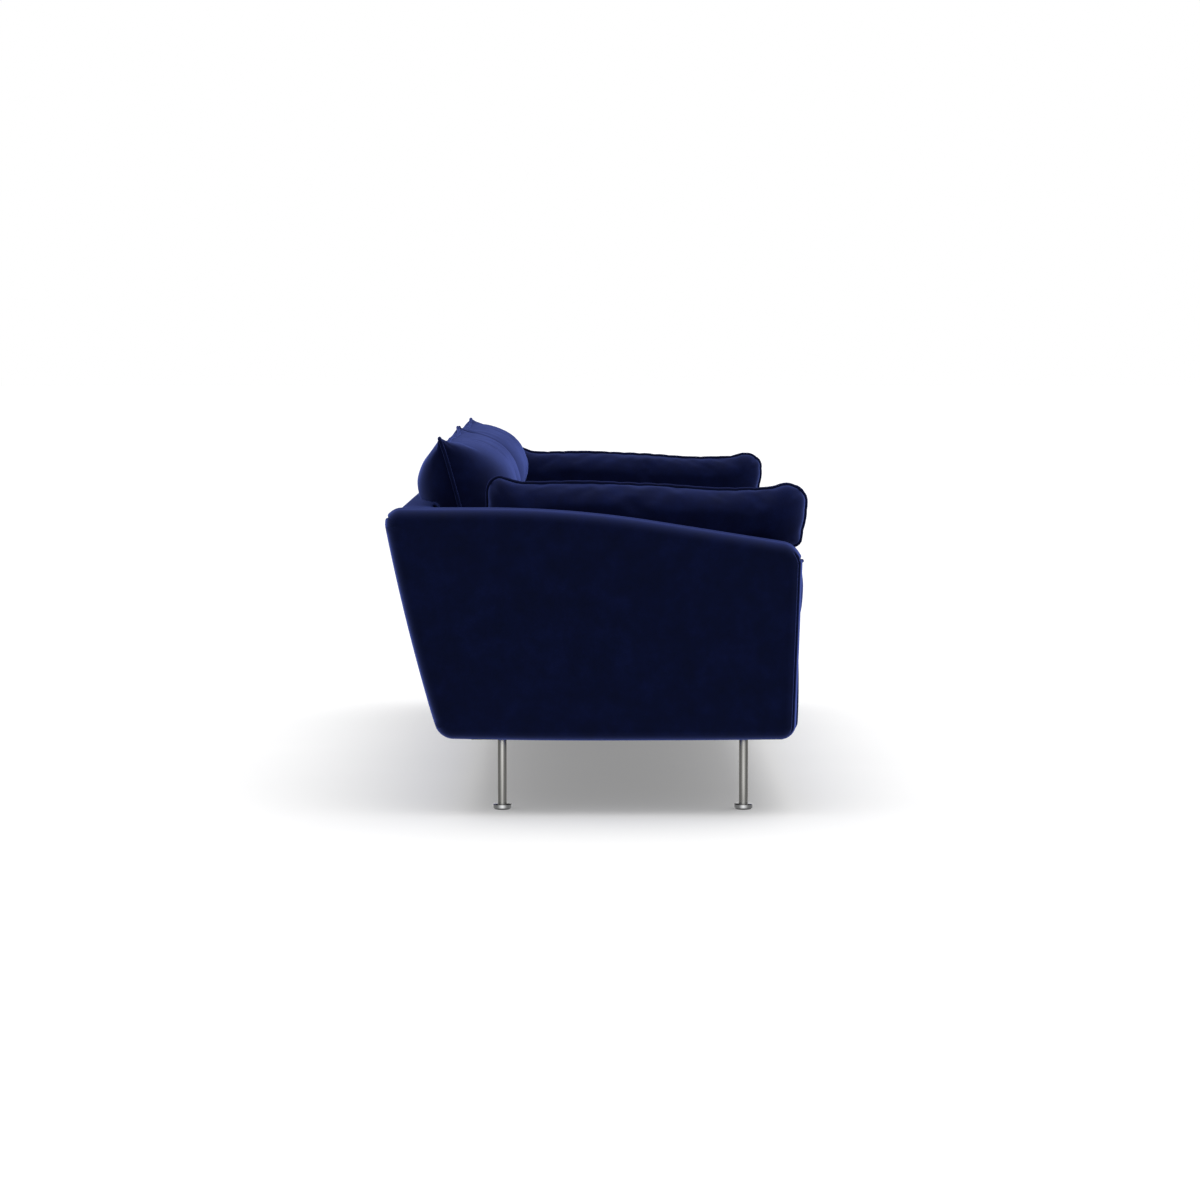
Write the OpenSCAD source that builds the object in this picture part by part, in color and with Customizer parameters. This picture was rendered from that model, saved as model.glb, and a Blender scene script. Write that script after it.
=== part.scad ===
// Upholstered sofa with loose seat, back and arm cushions on four slim steel legs.
// X runs along the sofa, the front faces -Y, and Z = 0 is the floor.
// The origin is on the floor, midway along the sofa and midway front to back.
// "left" is the -X end, which is on the left of someone who faces the sofa.

/* [Overall] */
// Length across the two arms
sofa_w = 2100; // [1750:10:2520]
// Depth from the front of the arm cushions to the top of the outside back
sofa_d = 900; // [750:10:1080]
// Height of the arms and the back rail above the floor
shell_h = 656; // [600:2:760]
// Height of the underside above the floor
clear_h = 160; // [130:5:200]
// Height of the seat deck above the floor
deck_h = 378; // [340:2:420]

/* [Arm and back shell] */
// Thickness of an arm, velvet to velvet
arm_t = 100; // [95:1:130]
// Thickness of the back, square to its slope
back_t = 100; // [90:1:130]
// Lean of the outside back at its top, from upright, in degrees
lean_top = 10; // [6:1:12]
// Lean of the outside back at its foot, from upright, in degrees
lean_foot = 16; // [14:1:20]
// Fall of the arm's top towards the front, in degrees
arm_fall = 9; // [4:1:12]
// Level stretch of the arm's top, from the back
level_run = 210; // [100:10:260]
// Length of the bend between the level and the falling stretch
bend_run = 360; // [250:10:420]
// Lean of the arm's front face, in degrees
front_lean = 2; // [0:1:4]
// How far the arm cushions stand out in front of the arms
front_setback = 20; // [10:1:40]
// Corner radius at the top of the outside back
back_top_r = 26; // [26:1:40]
// Corner radius at the front of the arm's top
front_top_r = 48; // [30:1:60]
// Corner radius at the foot of the arm's front
front_foot_r = 28; // [26:1:40]
// Corner radius at the foot of the outside back
back_foot_r = 30; // [26:1:45]
// Radius of the padded edges round the arm's two faces
edge_r = 16; // [8:1:18]

/* [Upholstery] */
// Thickness of the velvet with its backing cloth and wadding
skin_t = 3; // [2:0.5:4]
// Depth of the foam and velvet around the arm's frame
frame_inset = 24; // [18:0.5:24]
// Foam on the front border
border_foam_t = 18; // [10:1:25]
// How far the front border sits behind the arm's front
border_step = 5; // [0:1:15]
// Height above the underside at which the inside arm velvet is stapled
inside_arm_foot = 178; // [140:2:200]
// Thickness of the dust cloth
dust_t = 1.2; // [0.8:0.1:2]

/* [Timber] */
// Thickness of the front and back rails
rail_t = 25; // [20:1:32]
// Thickness of the side rails
side_rail_t = 27; // [20:1:32]
// Thickness of the cross rails
cross_rail_t = 30; // [20:1:40]
// Height of the cross rails
cross_rail_h = 64; // [40:2:90]
// Number of cross rails
cross_rails = 2; // [1:1:4]
// Thickness of the plywood on the outside of an arm
panel_t = 8; // [5:1:10]
// Width of the arm posts and depth of the arm's top rail
arm_post_w = 50; // [40:1:60]
// Depth of the back ribs, square to the slope
rib_d = 50; // [40:1:60]
// Thickness of the back ribs
rib_t = 30; // [18:1:40]
// Number of back ribs
ribs = 5; // [3:1:8]
// Height of the back's top rail
top_rail_h = 45; // [30:1:60]

/* [Springs and webbing] */
// Number of zigzag springs
springs = 12; // [6:2:16]
// Wire thickness of the zigzag springs
wire_t = 4; // [3:0.5:5]
// Width of a zigzag spring
spring_w = 50; // [40:2:60]
// Straight runs in a zigzag spring
spring_runs = 26; // [14:2:30]
// Width of a web in the back
web_w = 50; // [40:5:60]
// Number of webs in the back
webs = 3; // [2:1:4]
// Thickness of a web
web_t = 2; // [1.5:0.5:3]

/* [Legs] */
// Outside diameter of a leg
leg_d = 20; // [16:1:25]
// Wall of the leg tube
leg_wall = 2; // [1.5:0.5:3]
// Distance from a side rail's inner face out to a leg's axis, towards the middle of the sofa
leg_from_side_rail = 10; // [10:1:30]
// Distance from the front of the arms to a front leg's axis
leg_front = 119; // [100:1:200]
// Distance from the front of the base's back rail to a rear leg's axis
leg_from_back_rail = 37.9; // [35:0.1:80]
// Diameter of the foot disc
foot_d = 41; // [30:1:60]
// Thickness of the foot disc
foot_t = 8.5; // [6:0.5:12]
// Diameter of the thread on the levelling foot
level_d = 8; // [6:1:10]
// Diameter of the thread at the leg's top
stud_d = 10; // [8:1:12]
// Side of the square mounting plate
plate_w = 80; // [70:2:90]
// Thickness of the mounting plate
plate_t = 5; // [3:0.5:6]

/* [Cushions] */
// Thickness of a seat cushion
seat_t = 161; // [120:1:190]
// How far the seat cushions stand out in front of the arms
seat_proud = 8; // [0:1:15]
// Height of an arm cushion
arm_cushion_h = 170; // [130:2:200]
// Thickness of an arm cushion
arm_cushion_t = 104; // [80:1:130]
// Distance from the back's front face, at the seat deck, to the rear end of an arm cushion
arm_cushion_clear = 43.9; // [10:0.1:120]
// Height of a back cushion above the seat cushions
back_cushion_h = 266; // [220:2:320]
// Greatest thickness of a back cushion, front to back
back_cushion_t = 212; // [170:2:240]
// Thickness of a cushion's cover
cover_t = 2; // [1.5:0.5:3]
// Edge radius of a seat or arm cushion
cushion_r = 30; // [15:1:40]

/* [Clearances] */
// Between a loose cushion and what it lies on or against
rest_gap = 0.5; // [0.3:0.1:2]
// Between a loose cushion and the one beside it
side_gap = 1; // [0.6:0.1:3]
// Round the timber inside the foam
foam_gap = 0.5; // [0.2:0.1:1]
// Between a foot disc and the leg or the glide
foot_gap = 0.3; // [0.2:0.1:0.6]
// Radial play of the threads and the glide's pin
thread_gap = 0.05; // [0.02:0.01:0.1]
// Radial play of bolts and screws in drilled timber
drill_gap = 0.5; // [0.3:0.1:1]

/* [Hidden] */

velvet = "#1a2350";
pile = "#232d62";
foam = "#e8dcae";
timber = "#c9a26b";
plywood = "#d8b988";
steel = "#b9bcc0";
chrome = "#d4d7db";
cloth = "#2b2b2e";

through = 1;

// ---- Lines that the shell is drawn from, in the (Y, Z) plane ----

back_y = sofa_d / 2;
front_y = front_setback - sofa_d / 2;
arm_in_x = sofa_w / 2 - arm_t;

// Points on an arc about c, from angle a0 to a1
function arc(c, r, a0, a1, n) =
    [for (i = [0:n]) c + r * [cos(a0 + (a1 - a0) * i / n), sin(a0 + (a1 - a0) * i / n)]];

// Centres of the rounded corners. The outside back is one long bow between the top and foot corners.
top_c = [back_y - back_top_r, shell_h - back_top_r];
foot_z = clear_h + back_foot_r;
bow_rise = top_c[1] - back_top_r * sin(lean_top) - foot_z + back_foot_r * sin(lean_foot);
bow_r = bow_rise / (sin(lean_foot) - sin(lean_top));
bow_c = top_c - (bow_r - back_top_r) * [cos(lean_top), -sin(lean_top)];
foot_c = bow_c + (bow_r - back_foot_r) * [cos(lean_foot), -sin(lean_foot)];

// The arm's top: level, a long bend, then a straight fall to the front corner
bend_r = bend_run / sin(arm_fall);
bend_c = [back_y - level_run, shell_h - bend_r];
fall_n = [-sin(arm_fall), cos(arm_fall)];
front_top_y = front_y + front_top_r;
front_top_z = (fall_n * bend_c + bend_r - front_top_r - fall_n[0] * front_top_y) / fall_n[1];
front_top_c = [front_top_y, front_top_z];
front_n = [-cos(front_lean), -sin(front_lean)];
front_foot_z = clear_h + front_foot_r;
front_foot_off = front_n * front_top_c + front_top_r - front_foot_r;
front_foot_c = [(front_foot_off - front_n[1] * front_foot_z) / front_n[0], front_foot_z];

// Side outline of an arm, drawn in by inset all round
function arm_outline(inset) = concat(
    arc(bow_c, bow_r - inset, -lean_foot, -lean_top, 3),
    arc(top_c, back_top_r - inset, -lean_top, 0, 1),
    arc(top_c, back_top_r - inset, 15, 90, 4),
    arc(bend_c, bend_r - inset, 90, 90 + arm_fall, 5),
    arc(front_top_c, front_top_r - inset, 90 + arm_fall, 180 + front_lean, 5),
    arc(front_foot_c, front_foot_r - inset, 180 + front_lean, 270, 4),
    arc(foot_c, back_foot_r - inset, 270, 360 - lean_foot, 4));

// The straight line behind the bow, and the Y on a parallel line that lies inset in front of it
chord_foot = foot_c + back_foot_r * [cos(lean_foot), -sin(lean_foot)];
chord_top = top_c + back_top_r * [cos(lean_top), -sin(lean_top)];
chord_slope = (chord_top[0] - chord_foot[0]) / (chord_top[1] - chord_foot[1]);
chord_lean = atan(chord_slope);
function chord_y(z, inset) =
    chord_foot[0] + (z - chord_foot[1]) * chord_slope - inset / cos(chord_lean);

// Outline of the back between the arms
back_heel_r = 10;
back_brow_c = [chord_y(shell_h - back_top_r, back_t - back_top_r), shell_h - back_top_r];
back_heel_c = [chord_y(clear_h + back_heel_r, back_t - back_heel_r), clear_h + back_heel_r];
function back_outline(inset) = concat(
    arc(bow_c, bow_r - inset, -lean_foot, -lean_top, 3),
    arc(top_c, back_top_r - inset, -lean_top, 0, 1),
    arc(top_c, back_top_r - inset, 15, 90, 4),
    arc(back_brow_c, back_top_r - inset, 90, 180 - chord_lean, 5),
    arc(back_heel_c, back_heel_r - inset, 180 - chord_lean, 270, 3),
    arc(foot_c, back_foot_r - inset, 270, 360 - lean_foot, 4));

// ---- Heights and places shared by the frame ----

timber_up = 6;
timber_z = clear_h + timber_up;
clip_h = 6;
deck_under = deck_h - skin_t;
rail_top = deck_under - clip_h;
side_rail_top = clear_h + inside_arm_foot;
post_inset = 22;
post_x = arm_in_x + post_inset;
panel_x = sofa_w / 2 - frame_inset - panel_t;
rail_end = post_x - side_rail_t;
border_y = front_y + border_step;
rail_front_y = border_y + skin_t + border_foam_t;
seat_back_y = chord_y(deck_h, back_t);
rail_setback = 15;
rail_back_y = seat_back_y - rail_setback;
rib_out = 15;
rib_in = rib_out + rib_d;
rib_foot_setback = 10;
rib_foot_y = foot_c[0] - rib_foot_setback;
rib_heel_h = 18;
rib_heel_z = timber_z + rib_heel_h;
top_padding = 23;
back_frame_top = shell_h - top_padding;
end_play = 5;
back_end = arm_in_x - end_play;
top_rail_foot = back_frame_top - top_rail_h;
trim_w = arm_in_x - rest_gap;
leg_x = rail_end - leg_from_side_rail;
leg_front_y = front_y + leg_front;
leg_rear_y = rail_back_y - rail_t - leg_from_back_rail;
leg_places = [[-leg_x, leg_front_y], [leg_x, leg_front_y], [-leg_x, leg_rear_y], [leg_x, leg_rear_y]];

// Bolts that hold the base and the back to the arm frames: [y, z, x of the head's face]
bolt_r = 4;
bolt_head_r = 6.5;
bolt_head_h = 5;
nut_r = 5.5;
nut_flange_r = 9;
nut_flange_t = 1.5;
nut_l = 12;
bolt_from_rail = 11;
low_bolt_h = 60;
high_bolt_h = 140;
back_bolt_z = (deck_h + shell_h) / 2 + 3;
bolts = [
    for (y = [rail_front_y + rail_t + bolt_from_rail, rail_back_y - rail_t - bolt_from_rail],
        z = [clear_h + low_bolt_h, clear_h + high_bolt_h]) [y, z, rail_end],
    [chord_y(back_bolt_z, rib_out + rib_d / 2), back_bolt_z, back_end - rib_t]];

// Extrudes a (Y, Z) outline along +X from x to x + w
module along_x(x, w) {
    translate([x, 0, 0]) rotate([90, 0, 90]) linear_extrude(w) children();
}

// Draws a right-hand (+X) piece at its own end, or mirrors it to the left end
module at_end(side) {
    if (side > 0) children();
    else mirror([1, 0, 0]) children();
}

// A round bar along +X at one bolt's place
module bolt_bar(b, x, r, l) {
    translate([x, b[0], b[1]]) rotate([0, 90, 0]) cylinder(r = r, h = l, $fn = 32);
}

module bolt_holes() {
    for (b = bolts) bolt_bar(b, b[2] - through, bolt_r + drill_gap, panel_x - b[2] + through);
}

// ---- Base ----

module base_rail(y) {
    color(timber)
    translate([-rail_end, y, timber_z]) cube([2 * rail_end, rail_t, rail_top - timber_z]);
}

module base_side_rail() {
    color(timber)
    difference() {
        translate([rail_end, rail_front_y, timber_z])
            cube([side_rail_t, rail_back_y - rail_front_y, side_rail_top - foam_gap - timber_z]);
        bolt_holes();
        plate_screw_holes();
    }
}

module base_cross_rails() {
    y0 = rail_front_y + rail_t;
    pitch = 2 * rail_end / (cross_rails + 1);
    color(timber)
    for (i = [1:cross_rails])
        translate([i * pitch - rail_end - cross_rail_t / 2, y0, timber_z])
            cube([cross_rail_t, rail_back_y - rail_t - y0, cross_rail_h]);
}

// Hardwood blocks that take the legs, beside the side rails
leg_block_w = 90;
leg_block_h = 40;
module leg_blocks() {
    color(timber)
    difference() {
        for (p = leg_places) {
            y0 = p[1] - leg_block_w / 2;
            translate([p[0] > 0 ? rail_end - leg_block_w : -rail_end, y0, timber_z])
                cube([leg_block_w, min(leg_block_w, rail_back_y - rail_t - y0), leg_block_h]);
        }
        for (p = leg_places)
            translate([p[0], p[1], timber_z - through])
                cylinder(r = stud_d / 2 + drill_gap, h = leg_stud_l + through, $fn = 32);
        plate_screw_holes();
    }
}

// ---- Springs, deck and dust cloth ----

spring_y0 = rail_front_y + rail_t / 2;
spring_y1 = rail_back_y - rail_t / 2;
spring_z = rail_top + 1;
function spring_x(i) = (i - (springs - 1) / 2) * 2 * rail_end / springs;

// The wire's straight runs lie across the spring and are joined by round turns at their ends
spring_lap = 0.4;
module zigzag() {
    pitch = (spring_y1 - spring_y0 - wire_t) / (spring_runs - 1);
    turn = pitch / 2;
    run = spring_w - 2 * turn - wire_t;
    for (i = [0:spring_runs - 1])
        translate([-run / 2 - spring_lap, spring_y0 + i * pitch]) square([run + 2 * spring_lap, wire_t]);
    for (i = [0:spring_runs - 2])
        translate([(i % 2 == 0 ? 1 : -1) * run / 2, spring_y0 + i * pitch + turn + wire_t / 2])
            intersection() {
                difference() {
                    circle(r = turn + wire_t / 2, $fn = 24);
                    circle(r = turn - wire_t / 2, $fn = 24);
                }
                translate([i % 2 == 0 ? 0 : -spring_w, -spring_w / 2]) square(spring_w);
            }
}

module seat_springs() {
    color(steel)
    for (i = [0:springs - 1])
        translate([spring_x(i), 0, spring_z]) linear_extrude(wire_t) zigzag();
}

// Steel clips on the rails that hold the end runs of the springs
clip_w = 16;
clip_d = 12;
module spring_clips() {
    slot_h = wire_t + 2 * foam_gap;
    color(steel)
    for (i = [0:springs - 1], y = [spring_y0 + wire_t / 2, spring_y1 - wire_t / 2])
        translate([spring_x(i), y, rail_top])
            difference() {
                translate([-clip_w / 2, -clip_d / 2, 0]) cube([clip_w, clip_d, clip_h]);
                translate([-clip_w, -wire_t / 2 - foam_gap, spring_z - rail_top - foam_gap])
                    cube([2 * clip_w, wire_t + 2 * foam_gap, slot_h]);
            }
}

module seat_deck() {
    y0 = rail_front_y + rail_t;
    color(cloth)
    translate([-trim_w, y0, deck_under]) cube([2 * trim_w, seat_back_y - rest_gap - y0, skin_t]);
}

dust_z = clear_h + skin_t;
module dust_cover() {
    y0 = front_foot_c[0] + foam_gap;
    reach = sofa_w / 2 - frame_inset - foam_gap;
    color(cloth)
    difference() {
        translate([-reach, y0, dust_z]) cube([2 * reach, rail_back_y - y0, dust_t]);
        for (p = leg_places)
            translate([p[0] - plate_w / 2 - foam_gap, p[1] - plate_w / 2 - foam_gap, dust_z - through])
                cube([plate_w + 2 * foam_gap, plate_w + 2 * foam_gap, dust_t + 2 * through]);
    }
}

// ---- Arms, drawn at the right-hand end ----

// The whole padded arm, drawn in by inset, with its edges rounded in two steps
module arm_body(inset) {
    r = edge_r - inset;
    hull()
        for (a = [0, 45, 90]) {
            x = inset + r * (1 - cos(a));
            along_x(arm_in_x + x, arm_t - 2 * x) polygon(arm_outline(inset + r * (1 - sin(a))));
        }
}

// Room for the arm's frame, open underneath
module arm_cavity() {
    x = post_x - foam_gap;
    w = panel_x + panel_t + foam_gap - x;
    along_x(x, w) polygon(arm_outline(frame_inset));
    translate([x, front_foot_c[0], clear_h - through])
        cube([w, foot_c[0] - front_foot_c[0], frame_inset + front_foot_r]);
}

// Room for the side rail, below where the inside velvet is stapled
module side_rail_cut() {
    translate([arm_in_x - through, rail_front_y - foam_gap, clear_h - through])
        cube([post_x - arm_in_x + through, rail_back_y - rail_front_y + 2 * foam_gap,
            inside_arm_foot + through]);
}

module arm_foam() {
    color(foam)
    difference() {
        arm_body(skin_t);
        arm_cavity();
        side_rail_cut();
        bolt_holes();
    }
}

module arm_cover() {
    color(velvet)
    difference() {
        arm_body(0);
        arm_body(skin_t);
        side_rail_cut();
        bolt_holes();
        translate([post_x - foam_gap, front_foot_c[0], clear_h - through])
            cube([panel_x + panel_t - post_x + 2 * foam_gap, foot_c[0] - front_foot_c[0],
                skin_t + 2 * through]);
    }
}

frame_outline = arm_outline(frame_inset + foam_gap);
arm_post_t = panel_x - post_x;
post_front_y = front_foot_c[0] + arm_post_w;
post_rear_in = frame_inset + foam_gap + arm_post_w;

// Where the rear post stands: behind a sloping line, with a knee forward to the side rail's end
module rear_post_zone() {
    knee_y = rail_back_y - arm_post_w;
    polygon([[knee_y, 0], [knee_y, side_rail_top],
        [chord_y(side_rail_top, post_rear_in), side_rail_top],
        [chord_y(shell_h, post_rear_in), shell_h], [sofa_d, shell_h], [sofa_d, 0]]);
}

module bolted() {
    difference() {
        children();
        bolt_holes();
        for (b = bolts) {
            bolt_bar(b, panel_x - nut_l, nut_r, nut_l + through);
            bolt_bar(b, panel_x - nut_flange_t, nut_flange_r, nut_flange_t + through);
        }
    }
}

module arm_post_front() {
    color(timber)
    bolted()
    intersection() {
        along_x(post_x, arm_post_t) polygon(frame_outline);
        translate([0, post_front_y - sofa_d, 0]) cube([sofa_w, sofa_d, shell_h]);
    }
}

module arm_post_rear() {
    color(timber)
    bolted()
    intersection() {
        along_x(post_x, arm_post_t) polygon(frame_outline);
        along_x(post_x, arm_post_t) rear_post_zone();
    }
}

module arm_top_rail() {
    color(timber)
    difference() {
        along_x(post_x, arm_post_t) polygon(frame_outline);
        along_x(post_x - through, arm_post_t + 2 * through)
            translate([0, -arm_post_w]) polygon(frame_outline);
        along_x(post_x - through, arm_post_t + 2 * through) rear_post_zone();
        translate([0, post_front_y - sofa_d, 0]) cube([sofa_w, sofa_d, shell_h]);
        translate([0, -sofa_d, 0]) cube([sofa_w, 2 * sofa_d, (clear_h + shell_h) / 2]);
    }
}

module arm_panel() {
    color(plywood)
    along_x(panel_x, panel_t) polygon(frame_outline);
}

// ---- Back ----

module back_ribs() {
    outline = [[rail_back_y, timber_z], [rib_foot_y, timber_z],
        [chord_y(rib_heel_z, rib_out), rib_heel_z],
        [chord_y(top_rail_foot, rib_out), top_rail_foot],
        [chord_y(top_rail_foot, rib_in), top_rail_foot],
        [chord_y(rail_top, rib_in), rail_top], [rail_back_y, rail_top]];
    color(plywood)
    difference() {
        for (i = [0:ribs - 1])
            along_x((2 * back_end - rib_t) * i / (ribs - 1) - back_end, rib_t) polygon(outline);
        for (side = [-1, 1]) at_end(side) bolt_holes();
    }
}

module back_top_rail() {
    color(timber)
    along_x(-back_end, 2 * back_end)
        polygon([[chord_y(top_rail_foot, rib_out), top_rail_foot],
            [chord_y(back_frame_top, rib_out), back_frame_top],
            [chord_y(back_frame_top, rib_in), back_frame_top],
            [chord_y(top_rail_foot, rib_in), top_rail_foot]]);
}

module back_webbing() {
    low = deck_h + web_w;
    pitch = (top_rail_foot - web_w / 2 - low) / (webs - 1);
    color(cloth)
    for (i = [0:webs - 1]) {
        z0 = low + i * pitch - web_w / 2;
        z1 = z0 + web_w;
        along_x(-back_end, 2 * back_end)
            polygon([[chord_y(z0, rib_in), z0], [chord_y(z1, rib_in), z1],
                [chord_y(z1, rib_in + web_t), z1], [chord_y(z0, rib_in + web_t), z0]]);
    }
}

module back_foam() {
    out = rib_out - foam_gap;
    in = rib_in + web_t + foam_gap;
    below = clear_h - through;
    room = [[rib_foot_y + foam_gap, below], [rib_foot_y + foam_gap, timber_z],
        [chord_y(rib_heel_z, out), rib_heel_z],
        [chord_y(back_frame_top + foam_gap, out), back_frame_top + foam_gap],
        [chord_y(back_frame_top + foam_gap, in), back_frame_top + foam_gap],
        [chord_y(deck_h, in), deck_h], [0, deck_h], [0, below]];
    color(foam)
    difference() {
        along_x(-trim_w, 2 * trim_w) polygon(back_outline(skin_t));
        along_x(-trim_w - through, 2 * (trim_w + through)) polygon(room);
    }
}

module back_cover() {
    color(velvet)
    difference() {
        along_x(-trim_w, 2 * trim_w) polygon(back_outline(0));
        along_x(-trim_w - through, 2 * (trim_w + through)) polygon(back_outline(skin_t));
        translate([-sofa_w / 2, 0, 0]) cube([sofa_w, seat_back_y, deck_h]);
        translate([-sofa_w / 2, 0, 0]) cube([sofa_w, rib_foot_y - 5, deck_h - skin_t]);
    }
}

// ---- Front border ----

module front_border_foam() {
    color(foam)
    translate([-trim_w, border_y + skin_t, clear_h + skin_t])
        cube([2 * trim_w, border_foam_t, deck_under - clear_h - skin_t]);
}

module front_border_cover() {
    flap = skin_t + border_foam_t + rail_t;
    color(velvet)
    difference() {
        translate([-trim_w, border_y, clear_h]) cube([2 * trim_w, flap, deck_h - clear_h]);
        translate([-sofa_w / 2, border_y + skin_t, clear_h + skin_t])
            cube([sofa_w, flap, deck_h - clear_h - 2 * skin_t]);
    }
}

// ---- Bolts and nuts ----

module frame_bolts() {
    color(steel)
    for (side = [-1, 1]) at_end(side)
        for (b = bolts) {
            bolt_bar(b, b[2] - bolt_head_h, bolt_head_r, bolt_head_h);
            bolt_bar(b, b[2], bolt_r, panel_x - b[2]);
        }
}

module frame_nuts() {
    color(steel)
    for (side = [-1, 1]) at_end(side)
        for (b = bolts)
            difference() {
                union() {
                    bolt_bar(b, panel_x - nut_l, nut_r, nut_l);
                    bolt_bar(b, panel_x - nut_flange_t, nut_flange_r, nut_flange_t);
                }
                bolt_bar(b, panel_x - nut_l - through, bolt_r + thread_gap, nut_l + 2 * through);
            }
}

// ---- Legs ----

leg_top = timber_z - plate_t;
leg_stud_l = 20;
leg_plug_h = 25;
glide_t = 1.8;
glide_r = foot_d / 2 - 3;
glide_pin_r = 3;
glide_pin_h = 4;
foot_z0 = glide_t + foot_gap;
foot_top = foot_z0 + foot_t;
leg_z0 = foot_top + foot_gap;
foot_stud_l = 30;
foot_bevel = 2;
screw_r = 2.25;
screw_head_r = 4.5;
screw_l = 25;
screw_off = plate_w / 2 - 10;

module each_screw() {
    for (p = leg_places, dx = [-1, 1], dy = [-1, 1])
        translate([p[0] + dx * screw_off, p[1] + dy * screw_off, leg_top]) children();
}

module plate_screw_holes() {
    each_screw() cylinder(r = screw_r + drill_gap, h = screw_l + through, $fn = 24);
}

module leg_plates() {
    color(steel)
    difference() {
        for (p = leg_places)
            translate([p[0] - plate_w / 2, p[1] - plate_w / 2, leg_top])
                cube([plate_w, plate_w, plate_t]);
        for (p = leg_places)
            translate([p[0], p[1], leg_top - through])
                cylinder(r = stud_d / 2 + thread_gap, h = plate_t + 2 * through, $fn = 32);
        each_screw() translate([0, 0, -through]) {
            cylinder(r = screw_r + drill_gap, h = plate_t + 2 * through, $fn = 24);
            cylinder(r = screw_head_r + drill_gap, h = through + screw_head_h, $fn = 24);
        }
    }
}

screw_head_h = 2.5;
module plate_screws() {
    color(steel)
    each_screw() {
        cylinder(r = screw_head_r, h = screw_head_h, $fn = 24);
        cylinder(r = screw_r, h = screw_l, $fn = 24);
    }
}

module leg(p) {
    bore_r = level_d / 2 + thread_gap;
    tube_l = leg_top - leg_z0;
    color(chrome)
    translate([p[0], p[1], leg_z0])
        difference() {
            union() {
                cylinder(d = leg_d, h = tube_l, $fn = 48);
                cylinder(d = stud_d, h = tube_l + leg_stud_l - 2, $fn = 32);
            }
            translate([0, 0, leg_plug_h])
                cylinder(r = leg_d / 2 - leg_wall, h = tube_l - 2 * leg_plug_h, $fn = 48);
            translate([0, 0, -through]) cylinder(r = bore_r, h = leg_plug_h + 2 * through, $fn = 32);
        }
}

module foot(p) {
    color(chrome)
    translate([p[0], p[1], foot_z0])
        difference() {
            union() {
                cylinder(d1 = foot_d - 2 * foot_bevel, d2 = foot_d, h = foot_bevel, $fn = 64);
                translate([0, 0, foot_bevel]) cylinder(d = foot_d, h = foot_t - foot_bevel, $fn = 64);
                cylinder(d = level_d, h = foot_t + foot_stud_l, $fn = 32);
            }
            translate([0, 0, -through])
                cylinder(r = glide_pin_r + thread_gap, h = glide_pin_h + foot_gap + through, $fn = 32);
        }
}

module glide(p) {
    color(cloth)
    translate([p[0], p[1], 0]) {
        cylinder(r = glide_r, h = glide_t, $fn = 48);
        cylinder(r = glide_pin_r, h = glide_t + glide_pin_h, $fn = 32);
    }
}

// ---- Loose cushions, drawn at the right-hand end ----

// A block from lo to hi whose long edges are rounded, drawn in by inset
module soft_block(lo, hi, inset) {
    r = cushion_r;
    along_x(lo[0] + inset, hi[0] - lo[0] - 2 * inset)
        polygon(concat(
            arc([lo[1] + r, lo[2] + r], r - inset, 180, 270, 4),
            arc([hi[1] - r, lo[2] + r], r - inset, 270, 360, 4),
            arc([hi[1] - r, hi[2] - r], r - inset, 0, 90, 4),
            arc([lo[1] + r, hi[2] - r], r - inset, 90, 180, 4)));
}

// Slot for the zip in a cover's rear wall
zip_h = 6;
module zip_slot(x0, x1, y, z) {
    translate([x0 + cushion_r, y - cushion_r, z - zip_h / 2])
        cube([x1 - x0 - 2 * cushion_r, 2 * cushion_r, zip_h]);
}

seat_z0 = deck_h + rest_gap;
seat_z1 = seat_z0 + seat_t;
seat_lo = [side_gap / 2, front_y - seat_proud, seat_z0];
seat_hi = [arm_in_x - rest_gap, seat_back_y - rest_gap, seat_z1];

module seat_cover() {
    color(velvet)
    difference() {
        soft_block(seat_lo, seat_hi, 0);
        soft_block(seat_lo, seat_hi, cover_t);
        zip_slot(seat_lo[0], seat_hi[0], seat_hi[1], (seat_z0 + seat_z1) / 2);
    }
}

module seat_core() {
    color(foam)
    soft_block(seat_lo, seat_hi, cover_t);
}

arm_cushion_z0 = seat_z1 + rest_gap;
arm_cushion_y0 = -sofa_d / 2;
arm_cushion_lo = [arm_in_x - rest_gap - arm_cushion_t, arm_cushion_y0, arm_cushion_z0];
arm_cushion_hi = [arm_in_x - rest_gap, seat_back_y - arm_cushion_clear, arm_cushion_z0 + arm_cushion_h];

module arm_cushion_cover() {
    color(pile)
    difference() {
        soft_block(arm_cushion_lo, arm_cushion_hi, 0);
        soft_block(arm_cushion_lo, arm_cushion_hi, cover_t);
        zip_slot(arm_cushion_lo[0], arm_cushion_hi[0], arm_cushion_hi[1],
            (arm_cushion_lo[2] + arm_cushion_hi[2]) / 2);
    }
}

module arm_cushion_core() {
    color(foam)
    soft_block(arm_cushion_lo, arm_cushion_hi, cover_t);
}

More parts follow.
